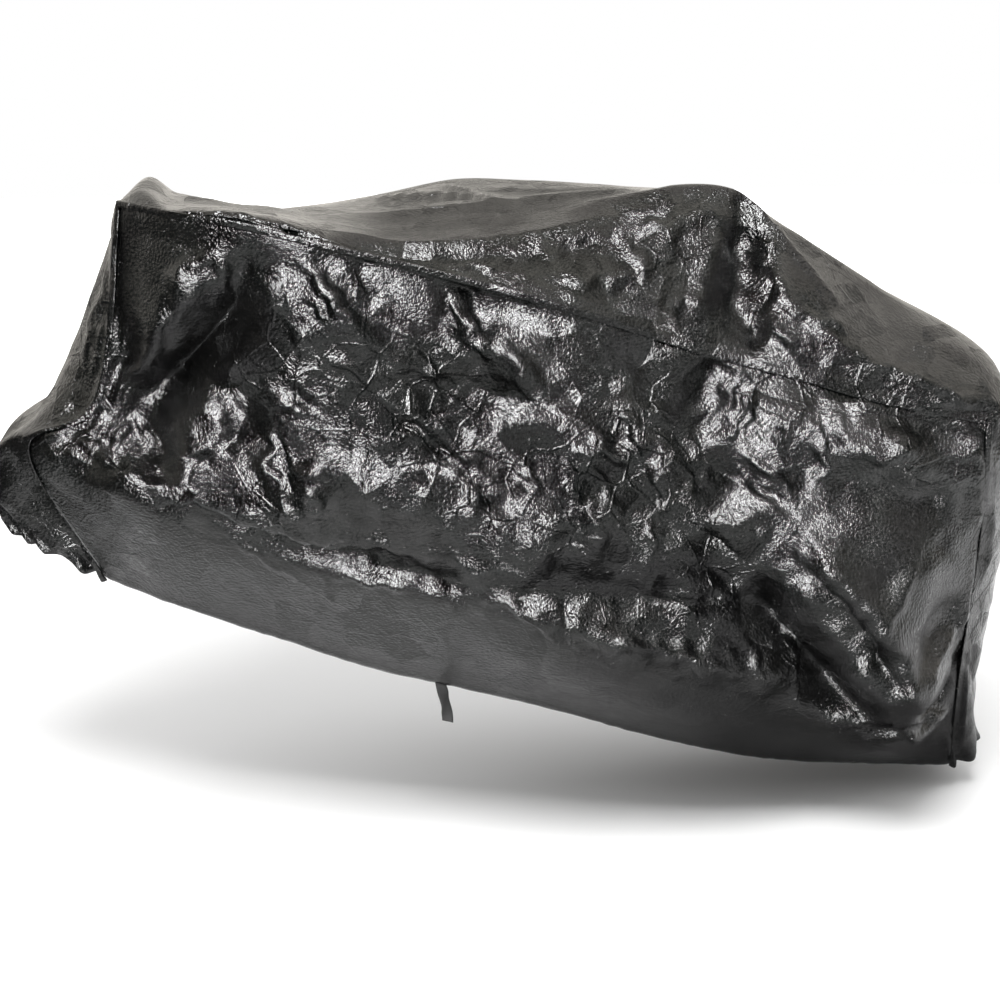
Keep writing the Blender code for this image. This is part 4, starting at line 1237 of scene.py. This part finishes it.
@dataclass(frozen=True)
class HemStrap:
    """The short webbing strap that hangs from the near hem."""

    panel: SidePanel
    width: float = 0.020
    thick: float = 0.0016
    x: float = -0.125  # where it is sewn to the hem
    hidden: float = 0.016  # how much of it lies behind the hem
    hang: float = 0.072  # and how much hangs free
    sway: float = 0.012  # its end swings rearwards by this much
    turn: float = 1.0  # and its middle turns by this angle, in radians
    hidden_rows: int = 5
    rows: int = 40
    columns: int = 6
    inner_row: int = -4  # a row of the panel just above its hem
    solid_sheet: float = 0.002  # the solid panel's thickness and the air behind it
    solid_gap: float = 0.0009

    @staticmethod
    def at(row: Grid, x: float) -> Grid:
        """The point of a row of points at the given x."""
        return np.array([np.interp(x, row[:, 0], row[:, axis]) for axis in range(3)])

    def build(self, finish: bpy.types.Material) -> bpy.types.Object:
        """Builds the strap: straight behind the hem, then turning by turn * sin^2 as it falls."""
        grid = self.panel.smooth()
        hem = self.at(grid[-1], self.x)
        up = unit(self.at(grid[self.inner_row], self.x) - hem)
        way = unit(self.at(grid[-1], self.x + self.width) - hem)
        outward = unit(np.cross(way, up))
        start = hem - (self.solid_sheet + self.solid_gap) * outward
        sewn = start + np.linspace(self.hidden, 0, self.hidden_rows, endpoint=False)[:, None] * up
        drop = np.linspace(0, 1, self.rows)[:, None]
        sway = self.sway * np.sin(np.pi / 2 * drop)
        hanging = start + drop * self.hang * np.array([0, 0, -1]) + sway * np.array([1, 0, 0])
        turn = self.turn * np.sin(np.pi * drop) ** 2
        turned = np.cos(turn) * way - np.sin(turn) * outward
        ways = np.vstack([np.repeat(way[None], len(sewn), axis=0), turned])
        middle = np.vstack([sewn, hanging])
        side = np.linspace(-self.width / 2, self.width / 2, self.columns)
        points = middle[:, None] + side[None, :, None] * ways[:, None]
        uv = np.stack([np.broadcast_to(side, points.shape[:2]), arc(points, 0)], axis=-1)
        made = sheet_mesh("hem_strap_webbing", points, uv, self.thick, finish)
        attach(made, "root")
        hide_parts("hem_strap")
        return made


def mirrored(stations: tuple[Rails, ...]) -> tuple[Rails, ...]:
    """The same rails on the far side of the leaning machine, with the seam lowered."""

    def across(point: Place, drop: float = 0.0) -> Place:
        """The point's mirror image in the leaning middle plane, lowered by drop."""
        x, y, z = point
        return (x, -2 * LEAN * z - y, z - drop)

    return tuple(
        Rails(across(row.seam, drop), across(row.waist), across(row.belly), across(row.hem))
        for row, drop in zip(stations, FAR_SEAM_DROP)
    )


# ------------------------------------------------------------------ the studio


def looking(aim: Place, azimuth: float, elevation: float, distance: float) -> Matrix:
    """The place and turn of a camera or light that looks at a point.

    Args:
        aim: the point, measured from the floor.
        azimuth: the way to stand from it in degrees, 0 in front and negative to the left.
        elevation: how high to stand, in degrees.
        distance: how far off.

    Returns:
        Its matrix in the part's frame.
    """
    a, e = math.radians(azimuth), math.radians(elevation)
    back = Vector((math.sin(a) * math.cos(e), -math.cos(a) * math.cos(e), math.sin(e)))
    place = Vector(aim) - Vector(SADDLE_REST) + back * distance
    return Matrix.Translation(place) @ back.to_track_quat("Z", "Y").to_matrix().to_4x4()


@dataclass(frozen=True)
class SoftLight:
    """A soft box aimed at a point. It may show only in reflections, or light only matt surfaces."""

    name: str
    azimuth: float
    elevation: float
    distance: float
    size: tuple[float, float]
    watts: float
    aim: Place = (0.0, -0.1, 0.6)
    in_reflections: bool = True
    on_surroundings: bool = True

    def build(self) -> None:
        """Adds the light."""
        data = bpy.data.lights.new(self.name, "AREA")
        data.shape = "RECTANGLE"
        data.size, data.size_y = self.size
        data.energy = self.watts
        made = put(self.name, data)
        made.matrix_world = looking(self.aim, self.azimuth, self.elevation, self.distance)
        made.visible_glossy = self.in_reflections
        made.visible_diffuse = self.on_surroundings


@dataclass(frozen=True)
class View:
    """The camera."""

    aim: Place = (0.0, 0.0, 0.55)
    azimuth: float = -5.0
    elevation: float = 17.0
    distance: float = 4.0
    lens: float = 80.0
    sensor: float = 36.0

    def build(self) -> None:
        """Adds the camera."""
        data = bpy.data.cameras.new("camera")
        data.lens, data.sensor_width = self.lens, self.sensor
        made = put("camera", data)
        made.matrix_world = looking(self.aim, self.azimuth, self.elevation, self.distance)
        bpy.context.scene.camera = made


@dataclass(frozen=True)
class Floor:
    """A flat matt white vinyl floor that fades into the white background far off.

    What the glossy cloth sees of it is a painted reflection, an emission graded by place rather than the lit
    floor: bright close by, painted dark in front and to the left, and painted shade under the low rear end.
    Places are measured on the floor itself, x rearwards and y away.
    """

    front: float = -2.1  # its front edge stops short of the camera
    back: float = 6.86
    half: float = 6.0
    roughness: float = 0.9
    cloud_scale: float = 3.0
    cloud: Ramp = Ramp(0.0, 1.0, 0.86, 0.90)
    glow: Ramp = Ramp(1.9, 3.6, 0.0, 1.2)  # by distance from the part's origin
    seen_in_front: Ramp = Ramp(-1.9, -1.35, 0.03, 1.2)  # by y
    seen_at_left: Ramp = Ramp(-1.5, -1.1, 0.04, 1.0)  # by x
    seen_at_right: Ramp = Ramp(0.88, 1.48, 1.0, 1.45)  # by x
    shade: Place = (0.62, -0.05, 0.0)  # the middle of the painted shade that the cloth sees in the floor under the low rear end
    painted_shade_in_reflection: Ramp = Ramp(0.25, 0.85, 0.12, 1.0)  # by distance from there

    def build(self) -> None:
        """Adds the floor."""
        low = -SADDLE_REST[2]
        front, back = self.front - SADDLE_REST[1], self.back - SADDLE_REST[1]
        corners = [(-self.half, front, low), (self.half, front, low)]
        corners += [(self.half, back, low), (-self.half, back, low)]
        mesh = bpy.data.meshes.new("floor")
        mesh.from_pydata(corners, [], [(0, 1, 2, 3)])
        mesh.materials.append(self.finish())
        made = put("floor", mesh)

    def finish(self) -> bpy.types.Material:
        """White vinyl with faint clouds, or for glossy rays a painted reflection of graded brightness."""
        made, tree = new_material("matt_white_vinyl_and_painted_reflection")
        place = add(tree, "TexCoord").outputs["Object"]
        noise = add(tree, "TexNoise", Vector=place, Scale=self.cloud_scale, Detail=3.0)
        tone = add(tree, "MapRange", Value=noise.outputs["Fac"], **self.cloud.inputs())
        away = add(tree, "VectorMath", {"operation": "LENGTH"}, _0=place)
        glow = add(tree, "MapRange", Value=away.outputs["Value"], **self.glow.inputs())
        vinyl = add(
            tree,
            "BsdfPrincipled",
            Base_Color=tone.outputs[0],
            Roughness=self.roughness,
            Emission_Color=linear("#ffffff"),
            Emission_Strength=glow.outputs[0],
        )
        # glossy rays see a painted reflection, not the lit floor: an emission graded by place, with painted
        # shade under the rear end
        painted_reflection = add(tree, "Emission", Color=linear("#ffffff"), Strength=self.painted_reflection(tree, place))
        rays = add(tree, "LightPath")
        glossy = rays.outputs["Is Glossy Ray"]
        both = add(tree, "MixShader", _0=glossy, _1=vinyl.outputs[0], _2=painted_reflection.outputs[0])
        add(tree, "OutputMaterial", Surface=both.outputs[0])
        return made

    def painted_reflection(self, tree: Tree, place: Socket) -> Socket:
        """How bright the painted reflection is at each point: the product of the ramps."""
        apart = add(tree, "SeparateXYZ", Vector=place)
        x, y = apart.outputs["X"], apart.outputs["Y"]
        middle = tuple(a - b for a, b in zip(self.shade, SADDLE_REST))
        gap = add(tree, "VectorMath", {"operation": "DISTANCE"}, _0=place, _1=middle)
        ramps = (
            (y, self.seen_in_front.inputs(SADDLE_REST[1])),
            (x, self.seen_at_left.inputs(SADDLE_REST[0])),
            (x, self.seen_at_right.inputs(SADDLE_REST[0])),
            (gap.outputs["Value"], self.painted_shade_in_reflection.inputs()),
        )
        product: Socket | float = 1.0
        for value, inputs in ramps:
            part = add(tree, "MapRange", Value=value, **inputs)
            product = add(tree, "Math", {"operation": "MULTIPLY"}, _0=product, _1=part.outputs[0]).outputs[0]
        return product


@dataclass(frozen=True)
class Surroundings:
    """White where the camera looks, and otherwise ramps by the way's Y (away) and Z (up) parts.

    The cloth reflects a bright wall behind and a band of ceiling, both slightly warm. The floor is
    lit by a white dome.
    """

    warm: str = "#fffaf1"
    wall: Ramp = Ramp(-0.1, 0.6, 0.03, 1.25)  # by Y
    wall_top: Ramp = Ramp(0.20, 0.65, 1.0, 0.45)  # by Z, times the wall
    ceiling: Ramp = Ramp(0.50, 0.75, 0.0, 1.2)  # by Z
    overhead: Ramp = Ramp(0.72, 0.90, 1.0, 0.25)  # by Z, times the ceiling
    dome: Ramp = Ramp(0.15, 0.6, 0.0, 1.15)  # by Z, for what lights the floor

    def build(self) -> None:
        """Adds the world."""
        world = bpy.data.worlds.new("studio")
        bpy.context.scene.world = world
        world.use_nodes = True
        tree = world.node_tree
        tree.nodes.clear()
        white = linear("#ffffff")
        rays = add(tree, "LightPath")
        way = add(tree, "SeparateXYZ", Vector=add(tree, "TexCoord").outputs["Generated"])
        y, z = way.outputs["Y"], way.outputs["Z"]
        wall = add(tree, "MapRange", Value=y, **self.wall.inputs())
        wall_top = add(tree, "MapRange", Value=z, **self.wall_top.inputs())
        backdrop = add(tree, "Math", {"operation": "MULTIPLY"}, _0=wall.outputs[0], _1=wall_top.outputs[0])
        band = add(tree, "MapRange", Value=z, **self.ceiling.inputs())
        overhead = add(tree, "MapRange", Value=z, **self.overhead.inputs())
        ceiling = add(tree, "Math", {"operation": "MULTIPLY"}, _0=band.outputs[0], _1=overhead.outputs[0])
        level = add(tree, "Math", {"operation": "ADD"}, _0=backdrop.outputs[0], _1=ceiling.outputs[0])
        dome = add(tree, "MapRange", Value=z, **self.dome.inputs())
        diffuse = rays.outputs["Is Diffuse Ray"]
        glow = add(tree, "Mix", {"data_type": "FLOAT"}, _0=diffuse, _2=level.outputs[0], _3=dome.outputs[0])
        tint = add(tree, "Mix", {"data_type": "RGBA"}, _0=diffuse, _6=linear(self.warm), _7=white)
        behind = add(tree, "Background", Color=white, Strength=1.0)
        around = add(tree, "Background", Color=tint.outputs[2], Strength=glow.outputs[0])
        camera = rays.outputs["Is Camera Ray"]
        both = add(tree, "MixShader", _0=camera, _1=around.outputs[0], _2=behind.outputs[0])
        add(tree, "OutputWorld", Surface=both.outputs[0])


@dataclass(frozen=True)
class Studio:
    """The camera, the floor, the surroundings and the lights."""

    view: View = View()
    floor: Floor = Floor()
    surroundings: Surroundings = Surroundings()
    lights: tuple[SoftLight, ...] = (
        SoftLight("key_softbox", -8, 48, 4.6, (1.8, 1.3), 560, on_surroundings=False),
        SoftLight("low_softbox", -14, 13, 4.6, (2.0, 1.5), 540, on_surroundings=False),
        SoftLight("side_softbox", 42, 24, 4.6, (1.1, 0.9), 34, on_surroundings=False),
        SoftLight("right_softbox", 68, 52, 4.2, (2.6, 1.8), 18, on_surroundings=False),
        SoftLight("floor_key", -10, 56, 4.6, (2.2, 1.4), 240, in_reflections=False),
    )

    def build(self) -> None:
        """Builds all of it, and leaves colours as the materials give them."""
        self.view.build()
        self.floor.build()
        self.surroundings.build()
        for light in self.lights:
            light.build()
        bpy.context.scene.view_settings.view_transform = "Standard"


# ------------------------------------------------------------------ putting it together


def main() -> None:
    """Builds the scene in order and reports each piece."""
    logging.basicConfig(level=logging.INFO, format="%(name)s: %(message)s")
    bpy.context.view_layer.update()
    Studio().build()
    polythene = CoatedWovenPolythene().build()
    webbing = PolyesterWebbing().build()
    near = SidePanel(
        node="near_side_panel",
        rails=NEAR_RAILS,
        folds=NEAR_FOLDS + NEAR_LEANS,
        outward=-1,
        column_steps=27,
        row_steps=(58, 49, 49),
        creases=NEAR_CREASES,
        calm=NEAR_CALM,
    )
    far = SidePanel(
        node="far_side_panel",
        rails=mirrored(NEAR_RAILS),
        folds=FAR_FOLDS,
        outward=1,
        column_steps=14,
        row_steps=(30, 25, 25),
        crumple=Crumple(seed=37),
    )
    near_cloth = near.build(polythene)
    far_cloth = far.build(polythene)
    gusset_cloth = Gusset(near, far).build(polythene)
    strap = HemStrap(near).build(webbing)
    for piece in (near_cloth, far_cloth, gusset_cloth, strap):
        log.info("%s: %d faces before its thickness", piece.name, len(piece.data.polygons))


if __name__ == "__main__":
    main()
